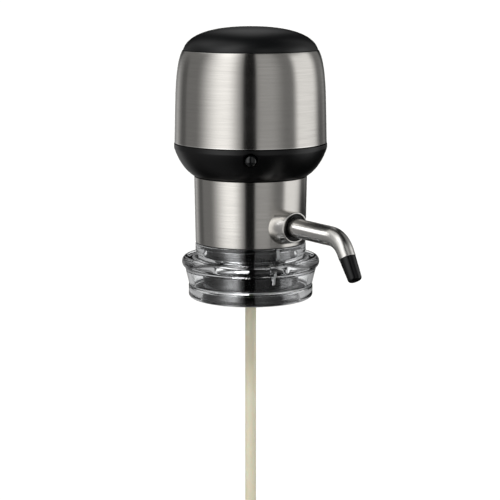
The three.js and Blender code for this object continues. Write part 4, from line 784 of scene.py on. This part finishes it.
class AERATOR_OT_spout_boss(Operator):
    """Builds the steel boss on the neck, its foot cut to the neck's curve, and the seal in its mouth"""

    bl_idname = "aerator.spout_boss"
    bl_label = "Spout boss and seal"

    def execute(self, context):
        spout, neck = sizes("spout"), sizes("neck")
        saddle, front, root = neck.foot_radius, spout_reach(), neck.foot_radius - 4.35
        bore, mouth, mouth_z = spout.radius + 0.3, 5.6, front - 2.4
        spigot, flare_here = bore + 1.5, 0.35
        outline = rounded([
            [bore, root, 0.1], [spigot, root, 0.1], [spigot, saddle - 0.3, 0],
            [spout.base_radius, saddle, 0.1], [spout.front_radius, front, 0.5], [mouth, front, 0.25],
            [mouth, mouth_z, 0.1], [bore, mouth_z, 0.1],
        ])
        around = azimuths(96)
        grid = along_spout(spout, outline[:, ::-1], around, bends=False)
        radius, distance = outline[:, :1], outline[:, 1:]
        # The foot follows the neck, whose radius here is R: a point x to the side of the spout's axis sinks
        # by saddle - sqrt(R^2 - x^2). Towards the front that fades, and so does the sag.
        wide = neck.foot_radius + neck.flare * flare_here
        sink = saddle + 0.05 - np.sqrt(wide ** 2 - (radius * np.sin(around)) ** 2)
        weight = smooth(front - 1.0, saddle + 0.3, distance) * (radius > spigot + 0.1)
        grid = grid - (sink * weight)[..., None] * spout_axes(spout)[1]
        grid[..., 2] -= spout.boss_sag * weight
        place("spout_boss", grid, "neck", "satin_stainless_tube")
        inner, outer, back, lip = bore + 0.02, mouth - 0.15, mouth_z + 0.3, front - 0.7
        corners = [[inner, back, 0.1], [outer, back, 0.1], [outer, lip, 0.1],
                   [(inner + outer) / 2, front - 0.35, 0.4], [inner, lip, 0.1]]
        grid = along_spout(spout, rounded(corners)[:, ::-1], azimuths(AROUND_SMALL), bends=False)
        place("spout_seal", grid, "neck", "moulded_black_rubber")
        return {"FINISHED"}


class AERATOR_OT_spout_tube(Operator):
    """Builds the bent steel spout with its inner bead, and the rubber tip in its end"""

    bl_idname = "aerator.spout_tube"
    bl_label = "Spout tube and tip"

    def execute(self, context):
        spout = sizes("spout")
        bend_at = spout_reach() + spout.run
        end = bend_at + spout.bend_radius * spout.bend + spout.tail
        root, bead_wide = sizes("neck").foot_radius - 5.75, 1.1
        bore = spout.radius - spout.wall
        bead = spout.radius + 0.9
        # The tube narrows over its bend by a smoothstep, and the tip's nose is a quarter of a circle.
        bend = np.linspace(bend_at - 3, end - 0.5, 48)
        narrowed = (spout.radius - spout.end_radius) * smooth(bend_at - 3, end, bend)
        corners = [
            [bore, root, 0.1], [bead, root, 0.2], [bead, root + bead_wide, 0.2],
            [spout.radius, root + bead_wide, 0.1], *rows(spout.radius - narrowed, bend),
            [spout.end_radius, end, 0.1], [spout.end_radius - spout.wall, end, 0.15],
            *rows((bore - narrowed)[::-1], bend[::-1]),
        ]
        grid = along_spout(spout, rounded(corners)[:, ::-1], azimuths(64))
        place("spout_tube", grid, "spout", "satin_stainless_tube")
        plug, plug_end, seam = spout.end_radius - spout.wall - 0.1, end - 5.0, end + 0.05
        tip_bore, tip_end, blunt, mouth = plug - 0.75, end + spout.tip_length, 1.3, 1.5
        t = np.radians(np.linspace(10, 90, 9))
        nose = rows(spout.tip_end - blunt + blunt * np.cos(t), tip_end - blunt + blunt * np.sin(t))
        corners = [[tip_bore, plug_end, 0.2], [plug, plug_end, 0.3], [plug, seam, 0.02],
                   [spout.tip_radius, seam, 0.2], *nose, [mouth, tip_end, 0.05], [mouth, tip_end - 1, 0.1],
                   [tip_bore, tip_end - 2, 0.1]]
        grid = along_spout(spout, rounded(corners)[:, ::-1], azimuths(AROUND_SMALL))
        place("spout_tip", grid, "spout", "moulded_black_rubber")
        return {"FINISHED"}


RING_MARK = (29, 4.7, 1.3, 4.0)       # azimuth in degrees, middle height, width and height
SKIRT_MARK = (20.4, -4.2, 0.9, 5.2)
RIM_MARK = (18.6, 24.6, 2.0, -1.9)    # azimuth, inner radius, width and underside
NEAR_MARKS = (15, 34)                 # azimuths between which the grid is finer
LEDGES = (0, 120, 240)                # azimuths of the ledges in the bore, in degrees
LEDGE_HALF = math.radians(28)
LUG_TURN = math.radians(17)           # from a ledge to the lug that goes under it
LUG_HALF = math.radians(18)
LUG_EASE = math.radians(0.5)          # its ends are eased over this angle either way
STEP = 0.001                          # sets apart the points that grow into ledges and lugs


class AERATOR_OT_clear_collar(Operator):
    """Builds the clear collar: ring, waist, dished flange, rolled edge and skirt, with raised marks"""

    bl_idname = "aerator.clear_collar"
    bl_label = "Clear collar"

    def execute(self, context):
        c = sizes("collar")
        ring, foot = c.bore_radius + c.ring_wall, -c.skirt_depth
        outer, waist = collar_outline(c, ring, foot)
        near = np.radians(np.linspace(*NEAR_MARKS, 84))
        around = np.concatenate([near, np.linspace(near[-1], near[0] + 2 * np.pi, AROUND)[1:-1]])
        radius, height = outer[:, :1], outer[:, 1:]
        outside = np.arange(len(outer))[:, None] <= np.argmax(height)
        off = np.minimum(mark_distance(around, height, ring), rim_distance(around, radius, height, ring))
        raised = smooth(0.08, -0.08, off) * outside * c.mark_proud
        on_ledge = smooth(LEDGE_HALF + 0.3, LEDGE_HALF - 0.2, off_ledges(around))
        is_ledge = np.abs(radius - (c.bore_radius - STEP)) < STEP / 10
        # The marks push the surface out along its normal, which is the outline's direction (dr, dz) turned
        # to (dz, -dr). The ledges grow into the bore from the points that STEP sets apart.
        along = np.roll(outer, -1, 0) - np.roll(outer, 1, 0)
        along /= np.linalg.norm(along, axis=1, keepdims=True)
        height = height - raised * along[:, :1]
        radius = radius + raised * along[:, 1:] - c.ledge * on_ledge * is_ledge
        collar = place("clear_collar", spun(radius, height, around), "collar",
                       "clear_moulded_acrylic")
        second_finish(collar.data, "frosted_acrylic", lambda x, y, z: (
            (np.hypot(x, y) > waist) & (mark_distance(np.arctan2(x, -y), z, ring) < 0)
            | (np.hypot(x, y) > c.skirt_radius - 0.6) & (z < foot + 0.3)))
        return {"FINISHED"}


def collar_outline(c, ring, foot):
    """Outline of the collar, and the radius of its waist: up the straight skirt, round the rolled edge,
    which is an ellipse, in over the dished flange, a Bezier curve, up the ring and down its bore."""
    skirt_top, waist = c.skirt_radius + 1.65, ring - c.pinch
    bead_r, dish_z = skirt_top + 1.3 - c.bead_radius, c.bead_height - c.bead_drop
    t = np.radians(np.linspace(-70, 90, 40))
    bead = np.stack([bead_r + c.bead_radius * np.cos(t), -c.bead_drop + c.bead_height * np.sin(t)], -1)
    skirt_z = np.linspace(foot + 0.4, bead[0, 1], 44)[:-1]
    skirt_r = np.interp(skirt_z, [foot, bead[0, 1]], [c.skirt_radius, bead[0, 0]])
    dish = bezier((bead_r, dish_z), (bead_r - 1.6, dish_z), (waist + 1.6, dish_z - 0.9), (waist + 0.2, 2.0),
                  26)[1:]
    lip, lip_z, ledge, ledge_top, ledge_foot = ring - 1.3, c.rise - 1.75, c.bore_radius - STEP, 0.4, -1.4
    return rounded([
        [c.skirt_radius - 1, foot, 0], [c.skirt_radius, foot, 0.3], *rows(skirt_r, skirt_z), *rows(*bead.T),
        *rows(*dish.T), [waist, 2.3, 0.3], [ring, 3.6, 0.9], *rows(ring, np.linspace(4.3, 5.9, 10)),
        [ring, c.rise, 0.6], [lip, c.rise, 0.2], [lip, lip_z, 0.2], [c.bore_radius, lip_z, 0.2],
        [c.bore_radius, ledge_top + 0.02, 0], [ledge, ledge_top, 0], [ledge, ledge_foot, 0],
        [c.bore_radius, ledge_foot - 0.2, 0], [c.bore_radius + c.wall, ledge_foot - 0.7, 0.4],
        [skirt_top - c.wall, -c.bead_height - 1.6, 1.2], [c.skirt_radius - c.wall, foot, 0.25],
    ]), waist


def off_ledges(around, turn=0.0):
    """Angle from the nearest of the three ledges, all turned on by one angle."""
    middles = np.radians(LEDGES)[:, None] + turn
    return np.abs((around - middles + np.pi) % (2 * np.pi) - np.pi).min(axis=0)


def from_azimuth(around, azimuth, ring):
    """Distance along the ring from an azimuth in degrees: the angle between times the radius."""
    return np.abs(around - math.radians(azimuth)) * ring


def mark_distance(around, height, ring):
    """Distance outside the ring's mark, a bar with square ends, and the skirt's mark, whose ends are
    round: the larger of the distances past its sides and ends, or that to its middle line less half its
    width."""
    azimuth, middle, width, tall = RING_MARK
    bar = np.maximum(from_azimuth(around, azimuth, ring) - width / 2, np.abs(height - middle) - tall / 2)
    azimuth, middle, width, tall = SKIRT_MARK
    past_end = np.maximum(np.abs(height - middle) - (tall - width) / 2, 0)
    return np.minimum(bar, np.hypot(from_azimuth(around, azimuth, ring), past_end) - width / 2)


def rim_distance(around, radius, height, ring):
    """Distance outside the block on the rolled edge, from the flange's hollow over to the underside."""
    azimuth, inner, width, under = RIM_MARK
    across = from_azimuth(around, azimuth, ring) - width / 2
    return np.maximum(across, np.maximum(inner - radius, under - height))


class AERATOR_OT_collar_foot(Operator):
    """Builds the clear lower ring of the collar, and the lugs' ring inside it"""

    bl_idname = "aerator.collar_foot"
    bl_label = "Collar foot and bayonet ring"

    def execute(self, context):
        c = sizes("collar")
        foot, top, radius = reach("collar_retainer")
        bore, pocket, shelf = c.socket_radius + 5.7, c.socket_radius + 8.2, top - 1.4
        foot = foot - 0.2
        corners = [[bore, foot, 0.2], [radius - 1.3, foot, 0.7], [radius, foot + 0.9, 0.7],
                   [radius, top, 0.3], [pocket, top, 0.1], [pocket, shelf, 0.1], [bore, shelf, 0.1]]
        retainer = place_turned("collar_retainer", corners, "collar",
                                "clear_moulded_acrylic")
        second_finish(retainer.data, "frosted_acrylic", lambda x, y, z: (
            np.hypot(x, y) > radius - 1.25) & (z < foot + 0.5))
        foot, top, lug_radius = reach("bayonet_ring")
        inner, outer = c.socket_radius + 2.2, c.socket_radius + 3.4
        lug, lug_top, flange, flange_foot = outer + STEP, foot + 2.1, inner - 1.8, top - 1.2
        outline, around = rounded([
            [inner, foot, 0.15], [outer, foot, 0.15], [lug, foot + 0.2, 0], [lug, lug_top - 0.2, 0],
            [outer, lug_top, 0], [outer, top, 0.1], [flange, top, 0.1], [flange, flange_foot, 0.1],
            [inner, flange_foot, 0.1],
        ]), azimuths(240)
        radius = outline[:, :1]
        # The lugs grow out from the points that STEP sets apart.
        on_lug = smooth(LUG_HALF + LUG_EASE, LUG_HALF - LUG_EASE, off_ledges(around, LUG_TURN))
        grown = (np.abs(radius - lug) < STEP / 10) * on_lug * (lug_radius - outer)
        place("bayonet_ring", spun(radius + grown, outline[:, 1:], around), "neck",
              "polished_black_nylon")
        return {"FINISHED"}


class AERATOR_OT_lip_seals(Operator):
    """Builds the black rubber bell inside the clear collar, and the ribbed gasket in its top"""

    bl_idname = "aerator.lip_seals"
    bl_label = "Bell and gasket"

    def execute(self, context):
        c = sizes("collar")
        inner = c.socket_radius
        foot, top, flange = reach("bottle_bell")
        flange_top = reach("collar_retainer")[1]
        flange_foot, skirt, wall, upper = flange_top - 1.1, inner + 5.3, inner + 4.6, inner + 1.8
        corners = [
            [inner + 2.2, foot, 0.3], [skirt, foot, 0.5], [skirt, flange_foot, 0.3],
            [flange, flange_foot, 0.2], [flange, flange_top, 0.2], [wall, flange_top, 0.2],
            [wall, -4.7, 0.3], [upper, -4.4, 0.1], [upper, top, 0.2], [inner, top, 0.2],
            [inner, foot + 6.7, 1.0],
        ]
        place_turned("bottle_bell", corners, "collar", "polished_black_rubber")
        seat = top
        foot, top, radius = reach("bottle_gasket")
        plug, bore, stub, rim = c.plug_radius, 3.4, c.plug_radius + 0.8, inner - 0.3
        ribs = [corner for z in (-9.6, -5.8) for corner in
                ([plug, z - 0.9, 0.2], [plug + 0.7, z, 0.3], [plug, z + 0.9, 0.2])]
        corners = [
            [bore, foot, 0.3], [plug - 1.6, foot, 0.5], [plug, foot + 1.6, 0.5], *ribs,
            [stub, -2.0, 0.3], [stub, 0, 0.3], [rim, 0, 0.1], [rim, seat, 0.1], [radius, seat, 0.2],
            [radius, top, 0.3], [bore, top, 0.3],
        ]
        place_turned("bottle_gasket", corners, "collar", "moulded_black_rubber", 96)
        return {"FINISHED"}


class AERATOR_OT_dip_tube(Operator):
    """Builds the cream dip tubes, the rubber gland between them and the slotted foot"""

    bl_idname = "aerator.dip_tube"
    bl_label = "Dip tube"

    def execute(self, context):
        dip = sizes("dip")
        for node, body, radius, wall in (("dip_tube_upper", "neck", dip.radius, dip.wall),
                                         ("dip_tube_lower", "lower_tube", dip.low_radius, dip.low_wall)):
            foot, top, _ = reach(node)
            corners = [[radius - wall, foot, 0.1], [radius, foot, 0.15], [radius, top, 0.15],
                       [radius - wall, top, 0.1]]
            place_turned(node, corners, body, "extruded_cream_polypropylene", AROUND_SMALL)
        gap = 0.3
        foot, top, radius = reach("tube_gland")
        bore, grip, lip = dip.low_radius + gap, dip.radius + gap, reach("dip_tube_upper")[0] - gap
        corners = [[bore, foot, 0.2], [radius - 0.3, foot, 0.4], [radius, lip, 0.3], [radius, top, 0.3],
                   [grip, top, 0.1], [grip, lip, 0.05], [bore, lip, 0.1]]
        place_turned("tube_gland", corners, "neck", "moulded_black_rubber", AROUND_SMALL)
        foot, top, radius = reach("dip_tube_foot")
        bore, grip = dip.low_radius - dip.low_wall, dip.low_radius + gap
        seat = reach("dip_tube_lower")[0] - gap
        outline = rounded([[bore, foot, 0.05], [radius, foot, 0.2], [radius, top, 0.3], [grip, top, 0.1],
                           [grip, seat, 0.1], [bore, seat, 0.1]])
        around = azimuths(192)
        radius, height = outline[:, :1], outline[:, 1:]
        # Four slots: a point is in one where its angle from the slot's middle is less than the arcsine of
        # half the width over the radius, and there it rises by the slot's depth.
        off = np.abs((around + np.pi / 4) % (np.pi / 2) - np.pi / 4)
        in_slot = smooth(0.03, -0.03, off - np.arcsin(dip.slot_width / 2 / radius)) * (height < foot + 0.3)
        place("dip_tube_foot", spun(radius, height + in_slot * dip.slot_depth, around), "lower_tube",
              "moulded_black_rubber")
        return {"FINISHED"}


class AERATOR_OT_inner_finishes(Operator):
    """Gives the carried-over solids inside the head and neck the finishes of their materials"""

    bl_idname = "aerator.inner_finishes"
    bl_label = "Inner finishes"

    def execute(self, context):
        for finish, nodes in CARRIED.items():
            for node in nodes:
                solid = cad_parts[node]
                if not solid.material_slots:
                    raise RuntimeError(f"{node} has no material slot")
                for held in solid.material_slots:
                    held.material = material(finish)
        return {"FINISHED"}


# Stage

# Light that glossy surfaces see round the object. Each panel has the azimuths and the elevations in
# degrees where it begins, is full, starts to end and has ended, and the light that it adds. The card by
# the camera makes the dark line down the steel.
WALL = (-40, -20, 45, 65)
PANELS = (
    ((-158, -146, 146, 158), WALL, 0.21),                   # walls of the studio
    ((-92, -44, -38, -8), (-40, -20, 64, 86), 1.18),        # wide soft box at the left
    ((2, 16, 30, 58), WALL, 0.22),                          # weak fill at the right of the camera
    ((66, 80, 108, 130), (-40, -20, 24, 44), 0.86),         # strip box at the right
    ((-14, -6, 6, 10), (-60, -40, 50, 70), -0.45),          # black card by the camera
    ((-134, -127, -119, -112), (-40, -20, 5, 20), -0.09),   # black card at the left, behind
    ((98, 112, 150, 165), (-60, -40, -10, -3), -0.35),      # black card at the right, low
    ((135, 150, 190, 200), (-40, -20, -4, 8), 0.14),        # low wall behind, in two halves
    ((-200, -190, -150, -130), (-40, -20, -4, 8), 0.34),
    ((168, 178, 190, 200), (10, 28, 42, 60), 0.45),         # window behind, in two halves
    ((-200, -190, -178, -168), (10, 28, 42, 60), 0.45),
    ((-150, -120, -55, -25), (30, 46, 76, 90), 0.50),       # upper part of the box at the left
    ((-140, -85, -60, -15), (-90, -70, -36, -20), 0.18),    # light from below at the left
    ((90, 125, 160, 190), (-70, -55, -34, -22), 0.10),      # and at the right
)
DARKEST = 0.01                 # light where no panel is
CORE_PASSES = 3.5              # walls that a ray from the collar's black core has passed, at least
CORE_POWER, CORE_GAIN = 3.0, 1.15
WALL_PASSES = (2.0, 1.5)       # walls that a ray has passed that is still inside the clear ones: 0.5 to 3.5
GLASS_LEVEL = 0.45             # light of the pale studio, which such a ray sees
GLASS_FRONT = (30.0, 60.0)     # azimuths either side of the front where that light begins and is full
FLOOR_GLOW = 0.30              # what the floor emits to the camera, on top of its lit paint
FLOOR_RINGS = (0.0, 400.0, 2000.0, 30000.0)   # radii of the floor's rings in millimetres
FLOOR_PATCHES = (40.0, 40.0, 40.0)            # size of the patches in its paint
CAMERA_ASIDE = -0.00026        # metres that the camera stands beside the axis
SENSOR = 36                    # width of the camera's sensor in millimetres
KEY_WIDTH = 25                 # degrees that the key light is wide
KEY_TURN = (32, 0, -28)        # its rotation in degrees: it comes from the front left

# The soft box that lights the spout: radiance, sides, direction and distance from the spout's middle
SPOUT_LIGHT = 2.0
SPOUT_LIGHT_SIDES = (0.26, 0.24)
SPOUT_LIGHT_FROM = (-114, 20)
SPOUT_LIGHT_AWAY = 0.5
SPOUT_MIDDLE = (0.035, -0.048, 0.017)


class AERATOR_OT_stage(Operator):
    """Builds the pale floor, the studio light and the camera"""

    bl_idname = "aerator.stage"
    bl_label = "Stage"

    def execute(self, context):
        scene = context.scene
        stage = scene.aerator.stage
        white = (*stage.background, 1)
        radii = np.array(FLOOR_RINGS)
        rings = np.stack([radii, 0 * radii - stage.floor_drop / MM], -1)
        floor = bpy.data.objects.new("floor", skin("floor", turned(rings, azimuths(64)), ring=False))
        floor.data.materials.append(surfaced("pale_floor_paint", lambda tree: floor_paint(tree, white)))
        floor.visible_glossy = False
        studio_world(scene, stage.ambient, white)
        key = bpy.data.objects.new("key", bpy.data.lights.new("key", "SUN"))
        key.data.energy, key.data.angle = stage.key, math.radians(KEY_WIDTH)
        key.rotation_euler = [math.radians(turn) for turn in KEY_TURN]
        key.visible_glossy = False
        camera = bpy.data.objects.new("camera", bpy.data.cameras.new("camera"))
        camera.data.lens, camera.data.sensor_width = stage.lens, SENSOR
        camera.data.clip_start, camera.data.clip_end = 0.01, 100
        camera.location = (CAMERA_ASIDE, -stage.distance, stage.height)
        camera.rotation_euler = (math.pi / 2 - stage.pitch, 0, 0)
        for made in (floor, key, spout_light(), camera):
            scene.collection.objects.link(made)
        scene.camera = camera
        scene.view_settings.view_transform = "Standard"
        return {"FINISHED"}


def spout_light():
    """Small soft box at the left, behind, held so that it lights the spout and its boss alone."""
    lamp = bpy.data.objects.new("spout_light", bpy.data.lights.new("spout_light", "AREA"))
    wide, tall = SPOUT_LIGHT_SIDES
    lamp.data.shape, lamp.data.size, lamp.data.size_y = "RECTANGLE", wide, tall
    lamp.data.energy = SPOUT_LIGHT * math.pi * wide * tall
    azimuth, elevation = (math.radians(turn) for turn in SPOUT_LIGHT_FROM)
    level = SPOUT_LIGHT_AWAY * math.cos(elevation)
    x, y, z = SPOUT_MIDDLE
    lamp.location = (x + level * math.sin(azimuth), y - level * math.cos(azimuth),
                     z + SPOUT_LIGHT_AWAY * math.sin(elevation))
    lamp.rotation_euler = (math.pi / 2 - elevation, 0, azimuth)
    lit = bpy.data.collections.new("spout_light")
    for node in ("spout_tube", "spout_boss"):
        lit.objects.link(bpy.data.objects[node + "_skin"])
    lamp.light_linking.receiver_collection = lit
    lamp.light_linking.blocker_collection = lit
    return lamp


def rays(tree):
    """What Light Path tells of a ray, and two masks from it: the rays that the camera sends, also through
    glass, and the mirrored ones."""
    path = add(tree, "ShaderNodeLightPath").node.outputs
    seen = add(tree, "ShaderNodeMath", {0: path["Is Camera Ray"], 1: path["Is Transmission Ray"]},
               operation="MAXIMUM")
    mirrored = add(tree, "ShaderNodeMath", {0: path["Glossy Depth"], 1: 0.5}, operation="GREATER_THAN")
    return path, seen, mirrored


def floor_paint(tree, white):
    """Matt pale paint. What it emits to the camera and through glass makes it as white as the background,
    and its lit part still shows the object's shadow. Mirrored rays pass it and see the studio's panels."""
    _, seen, mirrored = rays(tree)
    glow = add(tree, "ShaderNodeEmission", {"Color": white, "Strength": add(
        tree, "ShaderNodeMath", {0: seen, 1: FLOOR_GLOW}, operation="MULTIPLY")})
    pale = add(tree, "ShaderNodeMix", {0: pattern(tree, FLOOR_PATCHES), 6: colour("#E4E4E2"),
                                       7: colour("#E0E0DE")}, out=2, data_type="RGBA")
    paint = add(tree, "ShaderNodeBsdfDiffuse", {"Color": pale})
    both = add(tree, "ShaderNodeAddShader", {0: glow, 1: paint})
    return add(tree, "ShaderNodeMixShader", {0: mirrored, 1: both, 2: add(tree, "ShaderNodeBsdfTransparent")})


def studio_world(scene, ambient, white):
    """Plain light from all sides, white behind the object, and panels that mirrored rays alone see. A
    panel is a smooth rise times a smooth fall over the azimuth, times the same over the elevation. Rays
    off the collar's black core see the third power of that light, whose hard bands the real core shows.
    Rays inside the clear walls see at least the pale studio, but not in front, where the camera is."""
    world = bpy.data.worlds.new("studio")
    world.use_nodes = True
    scene.world = world
    tree = world.node_tree
    tree.nodes.clear()
    path, seen, mirrored = rays(tree)
    where = add(tree, "ShaderNodeTexCoord", out="Generated")
    x, y, z = add(tree, "ShaderNodeSeparateXYZ", {0: where}).node.outputs
    ahead = add(tree, "ShaderNodeMath", {0: y, 1: -1.0}, operation="MULTIPLY")
    turn = add(tree, "ShaderNodeMath", {0: x, 1: ahead}, operation="ARCTAN2")
    azimuth = add(tree, "ShaderNodeMath", {0: turn}, operation="DEGREES")
    rise = add(tree, "ShaderNodeMath", {0: z}, operation="ARCSINE")
    elevation = add(tree, "ShaderNodeMath", {0: rise}, operation="DEGREES")
    level = 0.0
    for azimuth_range, elevation_range, light in PANELS:
        for value, (begin, full, wane, end) in ((azimuth, azimuth_range), (elevation, elevation_range)):
            for low, high in ((begin, full), (end, wane)):
                window = add(tree, "ShaderNodeMapRange", {"Value": value, "From Min": low, "From Max": high},
                             interpolation_type="SMOOTHSTEP")
                light = add(tree, "ShaderNodeMath", {0: window, 1: light}, operation="MULTIPLY")
        level = add(tree, "ShaderNodeMath", {0: level, 1: light}, operation="ADD")
    level = add(tree, "ShaderNodeMath", {0: level, 1: DARKEST}, operation="MAXIMUM")
    passes = path["Transmission Depth"]
    off_core = add(tree, "ShaderNodeMath", {0: passes, 1: CORE_PASSES}, operation="GREATER_THAN")
    power = add(tree, "ShaderNodeMath", {0: level, 1: CORE_POWER}, operation="POWER")
    hard = add(tree, "ShaderNodeMath", {0: power, 1: CORE_GAIN}, operation="MULTIPLY")
    level = add(tree, "ShaderNodeMix", {0: off_core, 2: level, 3: hard})
    sideways = add(tree, "ShaderNodeMath", {0: azimuth}, operation="ABSOLUTE")
    begin, full = GLASS_FRONT
    aside = add(tree, "ShaderNodeMapRange", {"Value": sideways, "From Min": begin, "From Max": full},
                interpolation_type="SMOOTHSTEP")
    middle, spread = WALL_PASSES
    in_wall = add(tree, "ShaderNodeMath", {0: passes, 1: middle, 2: spread}, operation="COMPARE")
    in_glass = add(tree, "ShaderNodeMath", {0: in_wall, 1: aside}, operation="MULTIPLY")
    pale = add(tree, "ShaderNodeMath", {0: in_glass, 1: GLASS_LEVEL, 2: DARKEST}, operation="MULTIPLY_ADD")
    level = add(tree, "ShaderNodeMath", {0: level, 1: pale}, operation="MAXIMUM")
    plain = add(tree, "ShaderNodeMix", {0: seen, 2: ambient, 3: 1.0})
    strength = add(tree, "ShaderNodeMix", {0: mirrored, 2: plain, 3: level})
    sky = add(tree, "ShaderNodeBackground", {"Color": white, "Strength": strength})
    add(tree, "ShaderNodeOutputWorld", {"Surface": sky})


OPERATORS = (
    AERATOR_OT_head_sleeve, AERATOR_OT_push_cap, AERATOR_OT_cap_spring, AERATOR_OT_bowl,
    AERATOR_OT_release_pip, AERATOR_OT_neck, AERATOR_OT_spout_boss, AERATOR_OT_spout_tube,
    AERATOR_OT_clear_collar, AERATOR_OT_collar_foot, AERATOR_OT_lip_seals, AERATOR_OT_dip_tube,
    AERATOR_OT_inner_finishes, AERATOR_OT_stage,
)
GROUPS = (HeadSizes, BowlSizes, NeckSizes, SpoutSizes, CollarSizes, DipSizes, Colours, StageSizes,
          AeratorSettings)


class AERATOR_PT_pieces(Panel):
    """Lists the sizes, the colours and a button for each piece"""

    bl_label = "Wine aerator"
    bl_idname = "AERATOR_PT_pieces"
    bl_space_type = "VIEW_3D"
    bl_region_type = "UI"
    bl_category = "Aerator"

    def draw(self, context):
        settings = context.scene.aerator
        for group in AeratorSettings.__annotations__:
            box = self.layout.box()
            box.label(text=group.capitalize())
            held = getattr(settings, group)
            for name in held.__annotations__:
                box.prop(held, name)
        for operator in OPERATORS:
            self.layout.operator(operator.bl_idname)


def register():
    for made in (*GROUPS, *OPERATORS, AERATOR_PT_pieces):
        bpy.utils.register_class(made)
    bpy.types.Scene.aerator = PointerProperty(type=AeratorSettings)


def unregister():
    del bpy.types.Scene.aerator
    for made in reversed((*GROUPS, *OPERATORS, AERATOR_PT_pieces)):
        bpy.utils.unregister_class(made)


def main():
    register()
    for operator in OPERATORS:
        getattr(bpy.ops.aerator, operator.bl_idname.split(".")[1])()
    bpy.context.view_layer.update()


if __name__ == "__main__":
    main()
